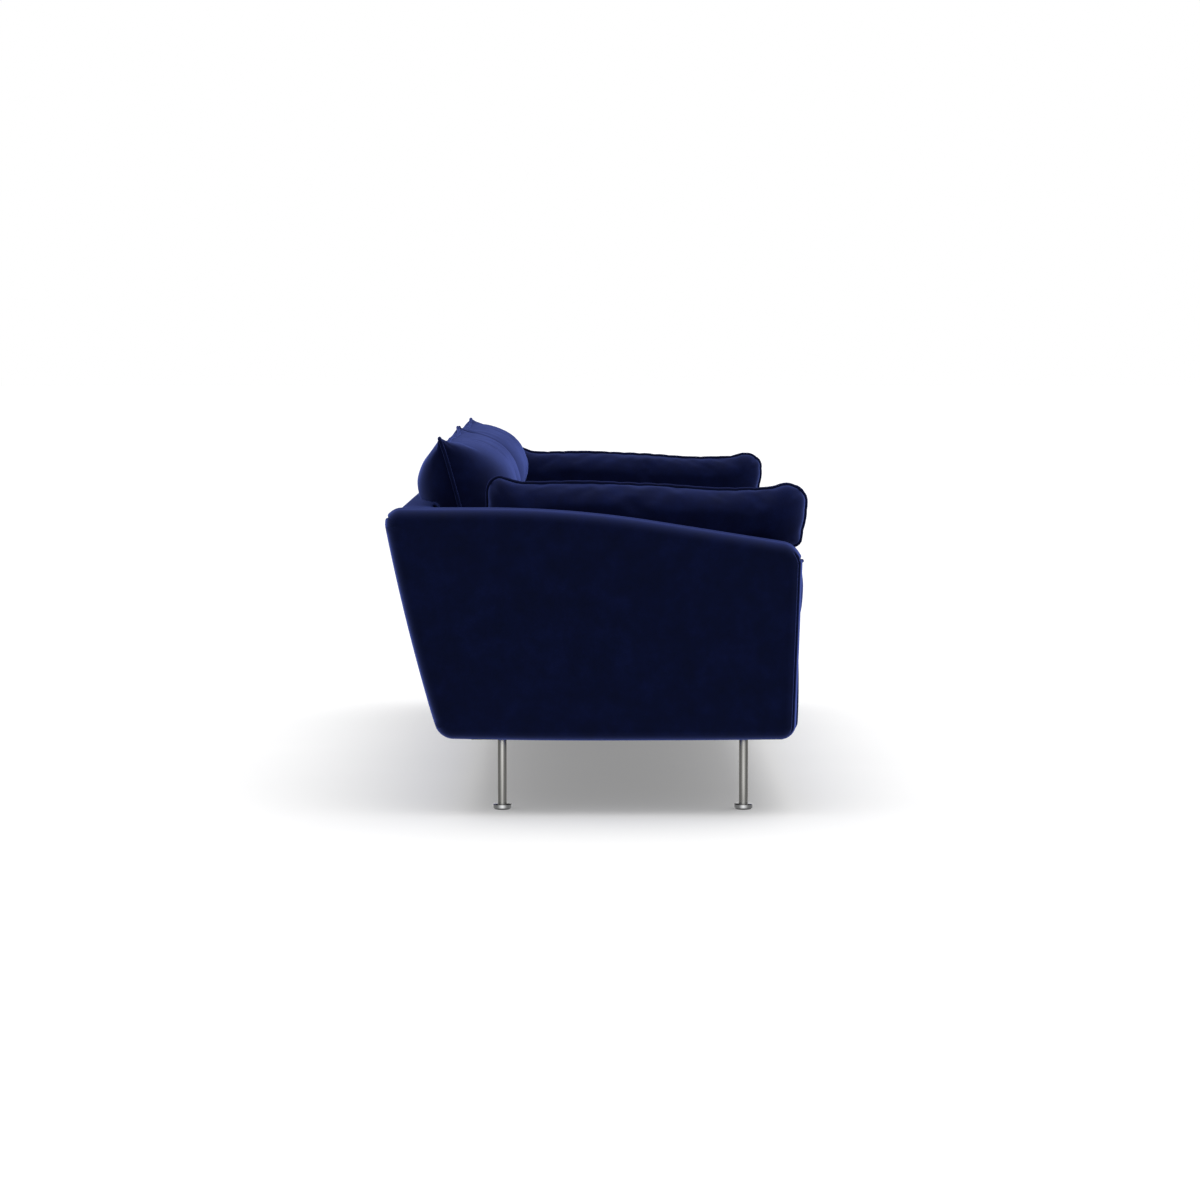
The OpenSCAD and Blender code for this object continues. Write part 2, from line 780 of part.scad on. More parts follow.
// The back cushion leans on the back and swells over the top of its rail
back_cushion_z0 = seat_z1 + rest_gap;
back_cushion_z1 = back_cushion_z0 + back_cushion_h;
back_cushion_x1 = arm_cushion_lo[0] - side_gap;
back_cushion_w = back_cushion_x1 - side_gap / 2;
over_rail_z = shell_h + rest_gap;
over_brow_z = shell_h - back_top_r;
crown_r = 46;
bulge_y = back_y - 55;
bulge_z = (over_rail_z + back_cushion_z1) / 2 - 32;
bulge_foot_y = bulge_y - 14;
crown_y = bulge_y - back_cushion_t / 2 + 12;
brow_dip = 8;
face_y = bulge_y - back_cushion_t;
face_z = bulge_z + 8;
belly_h = 70;
belly_out = 8;
low_corner = [25, 25];
low_heel = [20, 20];
function back_cushion_outline(inset) = concat(
    [[chord_y(back_cushion_z0, back_t) - rest_gap - low_heel[0] - inset, back_cushion_z0 + inset],
        [chord_y(back_cushion_z0 + low_heel[1], back_t) - rest_gap - inset, back_cushion_z0 + low_heel[1]],
        [chord_y(over_brow_z, back_t) - rest_gap - inset, over_brow_z],
        [chord_y(shell_h, back_t) - brow_dip - inset, over_rail_z + inset / 2],
        [bulge_foot_y - inset, over_rail_z + inset]],
    arc([bulge_y - crown_r, bulge_z], crown_r - inset, -30, 35, 3),
    arc([crown_y, back_cushion_z1 - crown_r], crown_r - inset, 60, 125, 3),
    arc([face_y + crown_r, face_z], crown_r - inset, 150, 200, 3),
    [[face_y - belly_out + inset, back_cushion_z0 + belly_h],
        [face_y + inset, back_cushion_z0 + low_corner[1]],
        [face_y + low_corner[0] + inset, back_cushion_z0 + inset]]);

module back_cushion_body(inset) {
    along_x(side_gap / 2 + inset, back_cushion_w - 2 * inset) polygon(back_cushion_outline(inset));
}

module back_cushion_cover() {
    color(pile)
    difference() {
        back_cushion_body(0);
        back_cushion_body(cover_t);
        translate([side_gap / 2 + crown_r, bulge_y - back_cushion_t / 2, back_cushion_z0 - through])
            cube([back_cushion_w - 2 * crown_r, zip_h, cover_t + 2 * through]);
    }
}

module back_cushion_core() {
    color(foam)
    back_cushion_body(cover_t);
}

// ---- What is drawn ----

base_rail(rail_front_y);  // base_rail_front
base_rail(rail_back_y - rail_t);  // base_rail_back
at_end(-1) base_side_rail();  // base_rail_left
at_end(1) base_side_rail();  // base_rail_right
base_cross_rails();
leg_blocks();
seat_springs();
spring_clips();
seat_deck();
dust_cover();
at_end(-1) arm_post_front();  // arm_post_front_left
at_end(-1) arm_post_rear();  // arm_post_rear_left
at_end(-1) arm_top_rail();  // arm_top_rail_left
at_end(-1) arm_panel();  // arm_panel_left
at_end(-1) arm_foam();  // arm_foam_left
at_end(-1) arm_cover();  // arm_cover_left
at_end(1) arm_post_front();  // arm_post_front_right
at_end(1) arm_post_rear();  // arm_post_rear_right
at_end(1) arm_top_rail();  // arm_top_rail_right
at_end(1) arm_panel();  // arm_panel_right
at_end(1) arm_foam();  // arm_foam_right
at_end(1) arm_cover();  // arm_cover_right
back_ribs();
back_top_rail();
back_webbing();
back_foam();
back_cover();
front_border_foam();
front_border_cover();
frame_bolts();
frame_nuts();
leg_plates();
plate_screws();
leg(leg_places[0]);  // leg_front_left
leg(leg_places[1]);  // leg_front_right
leg(leg_places[2]);  // leg_rear_left
leg(leg_places[3]);  // leg_rear_right
foot(leg_places[0]);  // foot_front_left
foot(leg_places[1]);  // foot_front_right
foot(leg_places[2]);  // foot_rear_left
foot(leg_places[3]);  // foot_rear_right
glide(leg_places[0]);  // glide_front_left
glide(leg_places[1]);  // glide_front_right
glide(leg_places[2]);  // glide_rear_left
glide(leg_places[3]);  // glide_rear_right
at_end(-1) seat_cover();  // seat_cover_left
at_end(-1) seat_core();  // seat_core_left
at_end(1) seat_cover();  // seat_cover_right
at_end(1) seat_core();  // seat_core_right
at_end(-1) back_cushion_cover();  // back_cushion_cover_left
at_end(-1) back_cushion_core();  // back_cushion_core_left
at_end(1) back_cushion_cover();  // back_cushion_cover_right
at_end(1) back_cushion_core();  // back_cushion_core_right
at_end(-1) arm_cushion_cover();  // arm_cushion_cover_left
at_end(-1) arm_cushion_core();  // arm_cushion_core_left
at_end(1) arm_cushion_cover();  // arm_cushion_cover_right
at_end(1) arm_cushion_core();  // arm_cushion_core_right
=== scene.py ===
import math
import bpy
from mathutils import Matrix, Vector, noise


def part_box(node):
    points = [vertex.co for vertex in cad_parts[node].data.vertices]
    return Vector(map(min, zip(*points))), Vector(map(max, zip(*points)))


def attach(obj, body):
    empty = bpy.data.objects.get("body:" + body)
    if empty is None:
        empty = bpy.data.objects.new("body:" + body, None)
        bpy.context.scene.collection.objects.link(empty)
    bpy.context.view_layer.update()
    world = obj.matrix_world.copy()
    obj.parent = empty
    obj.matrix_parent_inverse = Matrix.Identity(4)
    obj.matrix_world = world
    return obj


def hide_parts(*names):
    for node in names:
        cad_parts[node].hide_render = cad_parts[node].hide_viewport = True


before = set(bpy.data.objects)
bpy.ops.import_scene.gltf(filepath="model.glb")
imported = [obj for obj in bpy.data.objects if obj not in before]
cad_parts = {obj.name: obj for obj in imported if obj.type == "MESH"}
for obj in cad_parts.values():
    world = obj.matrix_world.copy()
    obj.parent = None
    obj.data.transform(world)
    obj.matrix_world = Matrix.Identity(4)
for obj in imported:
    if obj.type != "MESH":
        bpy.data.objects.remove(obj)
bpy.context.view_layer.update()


# ---- Base frame ----
# Front, back, side and cross rails with four leg blocks, all sawn and planed beech,
# glued and bolted between the two arm frames.

def from_hex(colour):
    """A linear colour from an sRGB hex value."""
    parts = [int(colour[i:i + 2], 16) / 255 for i in (1, 3, 5)]
    return [p / 12.92 if p <= 0.04045 else ((p + 0.055) / 1.055) ** 2.4 for p in parts] + [1.0]


def add(mat, kind, inputs=(), **settings):
    """Adds a node with its settings, and links or sets its inputs."""
    node = mat.node_tree.nodes.new("ShaderNode" + kind)
    for name, value in settings.items():
        setattr(node, name, value)
    for name, value in dict(inputs).items():
        if isinstance(value, bpy.types.NodeSocket):
            mat.node_tree.links.new(value, node.inputs[name])
        else:
            node.inputs[name].default_value = value
    return node


def new_material(name):
    mat = bpy.data.materials.new(name)
    mat.use_nodes = True
    mat.node_tree.nodes.clear()
    return mat


def shades(mat, factor, *stops):
    """Colours that follow a factor; each stop is (place, hex)."""
    ramp = add(mat, "ValToRGB", {"Fac": factor})
    while len(ramp.color_ramp.elements) < len(stops):
        ramp.color_ramp.elements.new(0.5)
    for element, (place, colour) in zip(ramp.color_ramp.elements, stops):
        element.position = place
        element.color = from_hex(colour)
    return ramp.outputs["Color"]


def stretched(mat, size):
    """Coordinates in metres, divided by the size of one figure along X, Y and Z."""
    place = add(mat, "TexCoord")
    return add(mat, "Mapping", {"Vector": place.outputs["Object"],
                                "Scale": [1 / s for s in size]}).outputs["Vector"]


def figured(mat, size, **settings):
    """Noise whose figure has a given size in metres along X, Y and Z, or one size all ways."""
    size = size if isinstance(size, (tuple, list)) else (size, size, size)
    return add(mat, "TexNoise", {"Vector": stretched(mat, size), "Scale": 1.0, **settings}).outputs["Fac"]


def ranged(mat, value, low, high, **settings):
    """A value from 0 to 1 brought to between low and high."""
    return add(mat, "MapRange", {"Value": value, "To Min": low, "To Max": high, **settings}).outputs[0]


def maths(mat, operation, a, b):
    return add(mat, "Math", {0: a, 1: b}, operation=operation).outputs[0]


def surface(mat, colour, roughness, height, depth, strength=0.5, **shader):
    """Ends a material: its shader with a bump of a given depth in metres."""
    bump = add(mat, "Bump", {"Height": height, "Distance": depth, "Strength": strength})
    settings = {"Base Color": colour, "Roughness": roughness, "Normal": bump.outputs["Normal"]}
    settings.update({name.replace("_", " "): value for name, value in shader.items()})
    skin = add(mat, "BsdfPrincipled", settings)
    add(mat, "OutputMaterial", {"Surface": skin.outputs["BSDF"]})
    return mat


def sawn_beech(name, grain):
    # Planed beech: pale pinkish brown, with short darker flecks that run with the grain.
    mat = new_material(name)
    rings = figured(mat, [0.25 if a == grain else 0.009 for a in "XYZ"], Detail=4.0)
    fleck = figured(mat, [0.006 if a == grain else 0.0009 for a in "XYZ"], Detail=2.0)
    half = maths(mat, "MULTIPLY", maths(mat, "ADD", rings, fleck), 0.5)
    colour = shades(mat, half, (0.34, "#a87d55"), (0.48, "#c79c6e"), (0.62, "#d9b489"))
    return surface(mat, colour, ranged(mat, fleck, 0.5, 0.68), fleck, 0.0004, IOR=1.5)


def paint(mat, *nodes):
    """Gives CAD nodes a material in every slot."""
    for name in nodes:
        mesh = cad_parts[name].data
        mesh.materials.clear()
        mesh.materials.append(mat)


beech_long = sawn_beech("sawn beech, grain along the sofa", "X")
beech_deep = sawn_beech("sawn beech, grain front to back", "Y")
beech_tall = sawn_beech("sawn beech, grain upright", "Z")
paint(beech_long, "base_rail_front", "base_rail_back", "back_top_rail")
paint(beech_deep, "base_rail_left", "base_rail_right", "base_cross_rails", "leg_blocks")


# ---- Seat springs ----
# Zigzag springs of bright drawn wire, held to the rails by zinc-plated steel clips.

def drawn_steel(name, light, dark, roughness, streak):
    # Cold-drawn or plated steel: die lines run with the work, and the plating is a little uneven.
    mat = new_material(name)
    lines = figured(mat, streak, Detail=3.0)
    colour = shades(mat, lines, (0.35, dark), (0.65, light))
    rough = ranged(mat, lines, roughness - 0.06, roughness + 0.1)
    return surface(mat, colour, rough, lines, 0.00006, Metallic=1.0)


paint(drawn_steel("spring steel, drawn bright", "#b7bac0", "#8d9096", 0.32, (0.03, 0.0012, 0.0012)),
      "seat_springs")
zinc = drawn_steel("steel, zinc plated", "#c3c7cc", "#9aa1a8", 0.36, (0.007, 0.007, 0.007))
paint(zinc, "spring_clips", "frame_bolts", "frame_nuts", "leg_plates", "plate_screws")


# ---- Deck cloth and dust cloth ----
# Spun-bonded black cloth: one sheet stapled over the springs, and one under the frame.

def bonded_cloth(name):
    # Spun-bonded polypropylene: matt black with a pressed diamond pattern about 3 mm across.
    mat = new_material(name)
    fibre = figured(mat, 0.0016, Detail=3.0)
    points = add(mat, "TexVoronoi", {"Vector": stretched(mat, (0.003, 0.003, 0.003)), "Scale": 1.0,
                                     "Randomness": 0.15})
    both = maths(mat, "ADD", fibre, points.outputs["Distance"])
    colour = shades(mat, fibre, (0.3, "#121214"), (0.7, "#242428"))
    return surface(mat, colour, 0.92, both, 0.0005)


paint(bonded_cloth("polypropylene cloth, spun-bonded"), "seat_deck", "dust_cover")


# ---- Arm frames and back frame ----
# Beech posts and top rails, birch plywood outer panels and ribs, and elastic webs
# stapled across the front of the ribs.

paint(beech_tall, "arm_post_front_left", "arm_post_front_right", "arm_post_rear_left", "arm_post_rear_right")
paint(beech_deep, "arm_top_rail_left", "arm_top_rail_right")

PLY = 0.0014      # thickness of one veneer


def birch_plywood(name):
    # Birch plywood: veneers show as pale and darker lines on a sawn edge, and faces have a soft figure.
    mat = new_material(name)
    face = figured(mat, (0.02, 0.03, 0.3), Detail=4.0)
    layers = add(mat, "TexWave", {"Vector": stretched(mat, (2 * math.pi * PLY, 1.0, 1.0)),
                                  "Scale": 1.0, "Distortion": 0.0}, bands_direction="X")
    half = maths(mat, "MULTIPLY", maths(mat, "ADD", face, layers.outputs["Fac"]), 0.5)
    colour = shades(mat, half, (0.25, "#b98f5f"), (0.5, "#d6b384"), (0.8, "#e6cda3"))
    return surface(mat, colour, 0.58, face, 0.0003, IOR=1.5)


paint(birch_plywood("birch plywood, sanded"), "arm_panel_left", "arm_panel_right", "back_ribs")


def woven_web(name):
    # Elastic upholstery web: rubber warps show as ribs along the web, about 3 mm apart.
    mat = new_material(name)
    ribs = add(mat, "TexWave", {"Vector": stretched(mat, (1.0, 1.0, 0.009)), "Scale": 1.0},
               bands_direction="Z")
    picks = add(mat, "TexWave", {"Vector": stretched(mat, (0.006, 1.0, 1.0)), "Scale": 1.0},
                bands_direction="X")
    cloth = maths(mat, "MULTIPLY", ribs.outputs["Fac"], picks.outputs["Fac"])
    colour = shades(mat, cloth, (0.1, "#2a2420"), (0.9, "#5b5048"))
    return surface(mat, colour, 0.85, cloth, 0.0008)


paint(woven_web("elastic webbing, woven"), "back_webbing")


# ---- Arms ----
# Each arm is wrapped in foam and one piece of velvet that rolls over the top. A narrow panel
# closes the front, and its seams run down the rounded corner on both sides.

def hold(value, low, high):
    return max(low, min(high, value))


def ease(value, low, high):
    """0 below low, 1 above high, smooth between."""
    t = hold((value - low) / (high - low), 0.0, 1.0)
    return t * t * (3 - 2 * t)


def arc(centre, radius, start, stop, steps):
    angles = [math.radians(start + (stop - start) * i / steps) for i in range(steps + 1)]
    return [(centre[0] + radius * math.cos(a), centre[1] + radius * math.sin(a)) for a in angles]


def joined(*parts):
    """One closed outline from arcs, with the straights between them cut into (arc, steps) pieces."""
    points = []
    for i, (part, steps) in enumerate(parts):
        points += part
        start, stop = part[-1], parts[(i + 1) % len(parts)][0][0]
        points += [(start[0] + (stop[0] - start[0]) * k / steps, start[1] + (stop[1] - start[1]) * k / steps)
                   for k in range(1, steps)]
    return points


def piece(name, rows, faces, mat):
    """A smooth mesh object from its points and faces."""
    mesh = bpy.data.meshes.new(name)
    mesh.from_pydata(rows, [], faces)
    mesh.polygons.foreach_set("use_smooth", [True] * len(mesh.polygons))
    mesh.materials.append(mat)
    mesh.update()
    obj = bpy.data.objects.new(name, mesh)
    bpy.context.scene.collection.objects.link(obj)
    return obj


def skinned(name, rings, mat):
    """A closed skin over rings of points, with a fan at each end. Rings turn so that faces look out."""
    n = len(rings[0])
    rows = [p for ring in rings for p in ring]
    faces = [(r * n + i, r * n + (i + 1) % n, (r + 1) * n + (i + 1) % n, (r + 1) * n + i)
             for r in range(len(rings) - 1) for i in range(n)]
    for ring, turn in ((0, 1), (len(rings) - 1, -1)):
        hub = len(rows)
        rows.append(tuple(sum(p[k] for p in rings[ring]) / n for k in range(3)))
        faces += [(hub, ring * n + (i + 1) % n, ring * n + i)[::turn] for i in range(n)]
    obj = piece(name, rows, faces, mat)
    if sum(f.normal.dot(f.center - Vector(rows[-1])) * f.area for f in obj.data.polygons) < 0:
        obj.data.flip_normals()
    return obj


def sink(obj, depths):
    """Moves each point in along its normal by its own depth, as a seam pulls the cloth down."""
    normals = [v.normal.copy() for v in obj.data.vertices]
    for vertex, normal, depth in zip(obj.data.vertices, normals, depths):
        vertex.co -= normal * depth
    obj.data.update()


def seam(distance, depth, width=0.0022):
    """How deep a stitched seam pulls at a distance from it; the cloth swells a little beside it."""
    swell = 0.28 * math.exp(-((distance - 0.0055) / 0.0032) ** 2)
    return depth * (math.exp(-(distance / width) ** 2) - swell)


def woven_velvet(name, deep, mid, light, glow, glow_rough=0.42):
    # Cotton velvet, woven face to face and sheared: a short upright pile, dark when looked into and
    # bright along its tips, with soft clouds where the nap was brushed another way.
    mat = new_material(name)
    cloud = figured(mat, 0.045, Detail=4.0, Roughness=0.62)
    # pile tufts stand about 0.5 mm apart, drawn at 2 mm so that they show
    tuft = figured(mat, 0.002, Detail=2.0)
    tone = maths(mat, "ADD", cloud, maths(mat, "MULTIPLY", tuft, 0.35))
    colour = shades(mat, tone, (0.45, deep), (0.68, mid), (0.92, light))
    rough = ranged(mat, tone, 0.82, 0.98, **{"From Min": 0.4, "From Max": 1.0})
    return surface(mat, colour, rough, tone, 0.0007, 0.55,
                   IOR=1.45, Specular_IOR_Level=0.08, Sheen_Weight=1.0,
                   Sheen_Roughness=glow_rough, Sheen_Tint=from_hex(glow))


shell_velvet = woven_velvet("navy velvet, woven and sheared", "#040a26", "#060d2d", "#0a1237", "#6579da")

HEIGHT = 0.656           # top of the shell
ARM_IN, ARM_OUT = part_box("arm_cover_right")[0].x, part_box("arm_cover_right")[1].x
LEAN_TOP, LEAN_FOOT = 11, 16.5
FALL, BEND, LEVEL = 9, 0.360, 0.210
TOP_R, NOSE_R, TOE_R, HEEL_R = 0.034, 0.048, 0.032, 0.038
STUFFED = 0.0065                     # how far the wadding swells the back edge out
ARCHED = 0.006                       # how far the underside rises at its ends
back_edge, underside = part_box("arm_cover_right")[1].y + STUFFED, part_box("arm_cover_right")[0].z
front_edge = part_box("arm_cover_right")[0].y
top_c = (back_edge - TOP_R, HEIGHT - TOP_R)
heel_z = underside + HEEL_R
sin_top, cos_top = math.sin(math.radians(LEAN_TOP)), math.cos(math.radians(LEAN_TOP))
sin_foot, cos_foot = math.sin(math.radians(LEAN_FOOT)), math.cos(math.radians(LEAN_FOOT))
bow_r = (top_c[1] - TOP_R * sin_top - heel_z + HEEL_R * sin_foot) / (sin_foot - sin_top)
bow_c = (top_c[0] - (bow_r - TOP_R) * cos_top, top_c[1] + (bow_r - TOP_R) * sin_top)
heel_c = (bow_c[0] + (bow_r - HEEL_R) * cos_foot, bow_c[1] - (bow_r - HEEL_R) * sin_foot)
sin_fall, cos_fall = math.sin(math.radians(FALL)), math.cos(math.radians(FALL))
bend_r = BEND / sin_fall
bend_c = (back_edge - LEVEL, HEIGHT - bend_r)
nose_y = front_edge + NOSE_R
nose_c = (nose_y, (-sin_fall * bend_c[0] + cos_fall * bend_c[1] + bend_r - NOSE_R
                   + sin_fall * nose_y) / cos_fall)
cos2, sin2 = math.cos(math.radians(2)), math.sin(math.radians(2))
toe_z = underside + TOE_R
toe_c = ((cos2 * nose_c[0] + sin2 * nose_c[1] - NOSE_R + TOE_R - sin2 * toe_z) / cos2, toe_z)


def arched(y, z):
    """The underside rises a little towards the front and the back."""
    lift = ARCHED * (y / 0.4) ** 2 * (1.0 if y > 0 else 0.4)
    return y, z + lift * (1 - ease(z, underside, underside + 0.06))


def arm_outline(inset):
    points = joined((arc(bow_c, bow_r - inset, -LEAN_FOOT, -LEAN_TOP, 26), 1),
                    (arc(top_c, TOP_R - inset, -LEAN_TOP, 90, 16), 12),
                    (arc(bend_c, bend_r - inset, 90, 90 + FALL, 16), 12),
                    (arc(nose_c, NOSE_R - inset, 90 + FALL, 182, 24), 22),
                    (arc(toe_c, TOE_R - inset, 182, 270, 12), 26),
                    (arc(heel_c, HEEL_R - inset, 270, 360 - LEAN_FOOT, 12), 1))
    return [arched(y, z) for y, z in points]


ARM_T = 0.100
ROLL_X, ROLL_IN = 0.036, 0.0255      # the padded roll round each face: across and in
ROLL_STEPS = 26
FACE_RINGS = (0.03, 0.12, 0.22, 0.33, 0.44, 0.55, 0.65, 0.74, 0.82, 0.88, 0.93, 0.97)   # their scales
RIM_SWELL = 0.0022                   # how far the rim swells between the two rolls
FACE_SWELL = 0.007                   # how far the middle of each face stands out
WAVE = 0.0012                        # how far the padding waves
SEAM_TURN = 45                       # where on the roll the front seams lie, in degrees from the face
roll = []                            # (x from the outer face, inset, scale, length along the roll)
for s in FACE_RINGS:
    roll.append((0.0, ROLL_IN, s, None))
walked = 0.0
for k in range(ROLL_STEPS + 1):
    a = math.radians(90 * k / ROLL_STEPS)
    x, inset = ROLL_X * (1 - math.cos(a)), ROLL_IN * (1 - math.sin(a))
    if k:
        walked += math.hypot(x - roll[-1][0], inset - roll[-1][1])
    roll.append((x, inset, 1.0, walked))
half_seam = math.radians(SEAM_TURN)
seam_walk = min(roll[len(FACE_RINGS):], key=lambda r: abs(r[0] - ROLL_X * (1 - math.cos(half_seam))))[3]
rim = [(ROLL_X + (ARM_T - 2 * ROLL_X) * k / 10, -RIM_SWELL * (1 - (2 * k / 10 - 1) ** 2), 1.0, walked + 1.0)
       for k in range(1, 10)]
roll += rim + [(ARM_T - x, inset, s, w) for x, inset, s, w in reversed(roll)]
rest_line = arm_outline(0.0)


def walk_along(points):
    """The length walked to each point of an open line."""
    walk = [0.0]
    for a, b in zip(points, points[1:]):
        walk.append(walk[-1] + math.dist(a, b))
    return walk


def walk_at(points, walk, centre, radius, degrees):
    """The length walked to the point that lies nearest to a place on a rounded corner."""
    place = arc(centre, radius, degrees, degrees, 1)[0]
    return walk[min(range(len(points)), key=lambda i: math.dist(points[i], place))]


NOSE_SEAM_TURN, RAIL_SEAM_TURN = 166, 30        # where seams lie on their rounded corners, in degrees
FRONT_SEAM, NOSE_SEAM, RAIL_SEAM = 0.0036, 0.0026, 0.0034      # how deep they pull
RAIL_SEAM_W = 0.0026
PANEL_SIDE = (0.385, 0.400)          # where the front panel starts, measured forwards
PANEL_FOOT = (underside + 0.012, underside + 0.03)
PANEL_HEAD = (0.560, 0.572)
lengths = walk_along(rest_line)
nose_seam = walk_at(rest_line, lengths, nose_c, NOSE_R, NOSE_SEAM_TURN)
back_seam = walk_at(rest_line, lengths, top_c, TOP_R, RAIL_SEAM_TURN)
ARM_HUB = (0.0, 0.40)                # the point that the face's rings close in on


def crown(y, z):
    """How far the middle of an arm's face stands out, from 0 at its edge to 1."""
    rear = bow_c[0] + math.sqrt(bow_r ** 2 - (z - bow_c[1]) ** 2) - ROLL_IN
    ahead = front_edge + ROLL_IN
    brow = bend_c[1] + math.sqrt(bend_r ** 2 - min(0.0, y - bend_c[0]) ** 2) - ROLL_IN
    foot = underside + ROLL_IN
    u = hold(2 * (y - ahead) / (rear - ahead) - 1, -1, 1)
    v = hold(2 * (z - foot) / (brow - foot) - 1, -1, 1)
    return (1 - u * u) * (1 - v * v)


def spread(points, share):
    """The same closed outline, its points moved along it towards even spaces."""
    walk = walk_along(points + points[:1])
    out = []
    for i in range(len(points)):
        goal = walk[i] * (1 - share) + walk[-1] * i / len(points) * share
        k = next(j for j in range(len(points)) if walk[j] <= goal <= walk[j + 1])
        a, b = points[k], points[(k + 1) % len(points)]
        t = (goal - walk[k]) / max(walk[k + 1] - walk[k], 1e-9)
        out.append((a[0] + (b[0] - a[0]) * t, a[1] + (b[1] - a[1]) * t))
    return out


def arm(name, side):
    rings, depths = [], []
    for x, inset, scale, walk in roll:
        ring = []
        for i, (y, z) in enumerate(spread(arm_outline(inset), 1 - ease(scale, 0.5, 1.0))):
            y, z = ARM_HUB[0] + (y - ARM_HUB[0]) * scale, ARM_HUB[1] + (z - ARM_HUB[1]) * scale
            wave = WAVE * noise.noise(Vector((side * 3 + x * 4, y * 6, z * 6))) * (1 if scale < 1 else 0.5)
            proud = FACE_SWELL * crown(y, z) * (1 if x < ARM_T / 2 else -1) if walk is None else 0.0
            ring.append((side * (ARM_OUT - x + wave + proud), y, z))
            near_front = ease(-rest_line[i][0], *PANEL_SIDE)
            depth = 0.0
            if walk is not None:
                if near_front:
                    tall = ease(rest_line[i][1], *PANEL_FOOT) * (1 - ease(rest_line[i][1], *PANEL_HEAD))
                    depth += near_front * tall * seam(abs(walk - seam_walk), FRONT_SEAM)
                on_rim = 1.0 if walk > 1 else ease(walk, seam_walk - 0.004, seam_walk)
                depth += on_rim * seam(abs(lengths[i] - nose_seam), NOSE_SEAM)
                back_rim = 1.0 if walk > 1 else ease(walk, 0.004, seam_walk)
                depth += back_rim * seam(abs(lengths[i] - back_seam), RAIL_SEAM, RAIL_SEAM_W)
            depths.append(depth)
        rings.append(ring)
    obj = skinned(name, rings, shell_velvet)
    sink(obj, depths + [0.0, 0.0])
    return obj


for side, end in ((-1, "left"), (1, "right")):
    padded = arm("padded_arm_" + end, side)
    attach(padded, "frame")
    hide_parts("arm_foam_" + end, "arm_cover_" + end)


# ---- Back ----
# Foam over the ribs and webs, under one length of velvet that comes over the top rail and down
# the outside. It is sewn along the outer edge of the rail's top, and its ends tuck in at the arms.

chord_foot = (heel_c[0] + HEEL_R * cos_foot, heel_c[1] - HEEL_R * sin_foot)
chord_top = (top_c[0] + TOP_R * cos_top, top_c[1] - TOP_R * sin_top)
slope = (chord_top[0] - chord_foot[0]) / (chord_top[1] - chord_foot[1])
chord_lean = math.degrees(math.atan(slope))
BACK_T = 0.100 + STUFFED
BROW_R, SOLE_R = 0.026, 0.010
DOME, DOME_Y, DOME_HALF = 0.0025, 0.39, 0.05    # how far the rail's top swells up, and where


def back_line(z, inset):
    return chord_foot[0] + (z - chord_foot[1]) * slope - inset / math.cos(math.radians(chord_lean))


brow_c = (back_line(HEIGHT - BROW_R, BACK_T - BROW_R), HEIGHT - BROW_R)
sole_c = (back_line(underside + SOLE_R, BACK_T - SOLE_R), underside + SOLE_R)


def back_outline(inset):
    points = joined((arc(bow_c, bow_r - inset, -LEAN_FOOT, -LEAN_TOP, 26), 1),
                    (arc(top_c, TOP_R - inset, -LEAN_TOP, 90, 16), 8),
                    (arc(brow_c, BROW_R - inset, 90, 180 - chord_lean, 12), 24),
                    (arc(sole_c, SOLE_R - inset, 180 - chord_lean, 270, 6), 8),
                    (arc(heel_c, HEEL_R - inset, 270, 360 - LEAN_FOOT, 12), 1))
    dome = [DOME * ease(z, HEIGHT - 0.006, HEIGHT) * (1 - ((y - DOME_Y) / DOME_HALF) ** 2) for y, z in points]
    return [arched(y, z + max(0.0, d)) for (y, z), d in zip(points, dome)]


BACK_END = ARM_IN + 0.041   # its ends go in between the arms' faces
END_ROLL = 0.005
BACK_HUB = (0.33, 0.4)      # the point that its end rings close in on
WITHIN = 0.007              # how far the back stands within the arms' outline
stations = [(BACK_END, END_ROLL, 0.6), (BACK_END, END_ROLL, 1.0)]          # (x, inset, scale)
for degrees in (15, 30, 45, 60, 75, 90):
    a = math.radians(degrees)
    stations.append((BACK_END - END_ROLL * (1 - math.cos(a)), END_ROLL * (1 - math.sin(a)), 1.0))
stations += [(x, WITHIN * ease(BACK_END - x, 0, 0.12), 1.0)
             for x in (0.97, 0.94, 0.90, 0.85, 0.78, 0.70, 0.60, 0.50, 0.40, 0.30, 0.20, 0.10)]
stations += [(0.0, WITHIN, 1.0)] + [(-x, inset, scale) for x, inset, scale in reversed(stations)]
back_points = back_outline(0.0)
back_walk = walk_along(back_points)
rail_seam = walk_at(back_points, back_walk, top_c, TOP_R, RAIL_SEAM_TURN)
rings, depths = [], []
for x, inset, scale in stations:
    ring = []
    for i, (y, z) in enumerate(back_outline(inset)):
        y, z = BACK_HUB[0] + (y - BACK_HUB[0]) * scale, BACK_HUB[1] + (z - BACK_HUB[1]) * scale
        swell = 0.0014 * noise.noise(Vector((x * 3, y * 5, z * 5)))
        ring.append((x, y + swell * ease(y - back_line(z, 0.05), 0, 0.01), z))
        depths.append(seam(abs(back_walk[i] - rail_seam), 0.0028, RAIL_SEAM_W) if scale == 1.0 else 0.0)
    rings.append(ring)
padded_back = skinned("padded_back", rings, shell_velvet)
sink(padded_back, depths + [0.0, 0.0])
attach(padded_back, "frame")
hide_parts("back_foam", "back_cover")


# ---- Front border ----
# A strip of foam on the front rail, under velvet that is stapled below the rail and
# behind the seat deck's front edge.

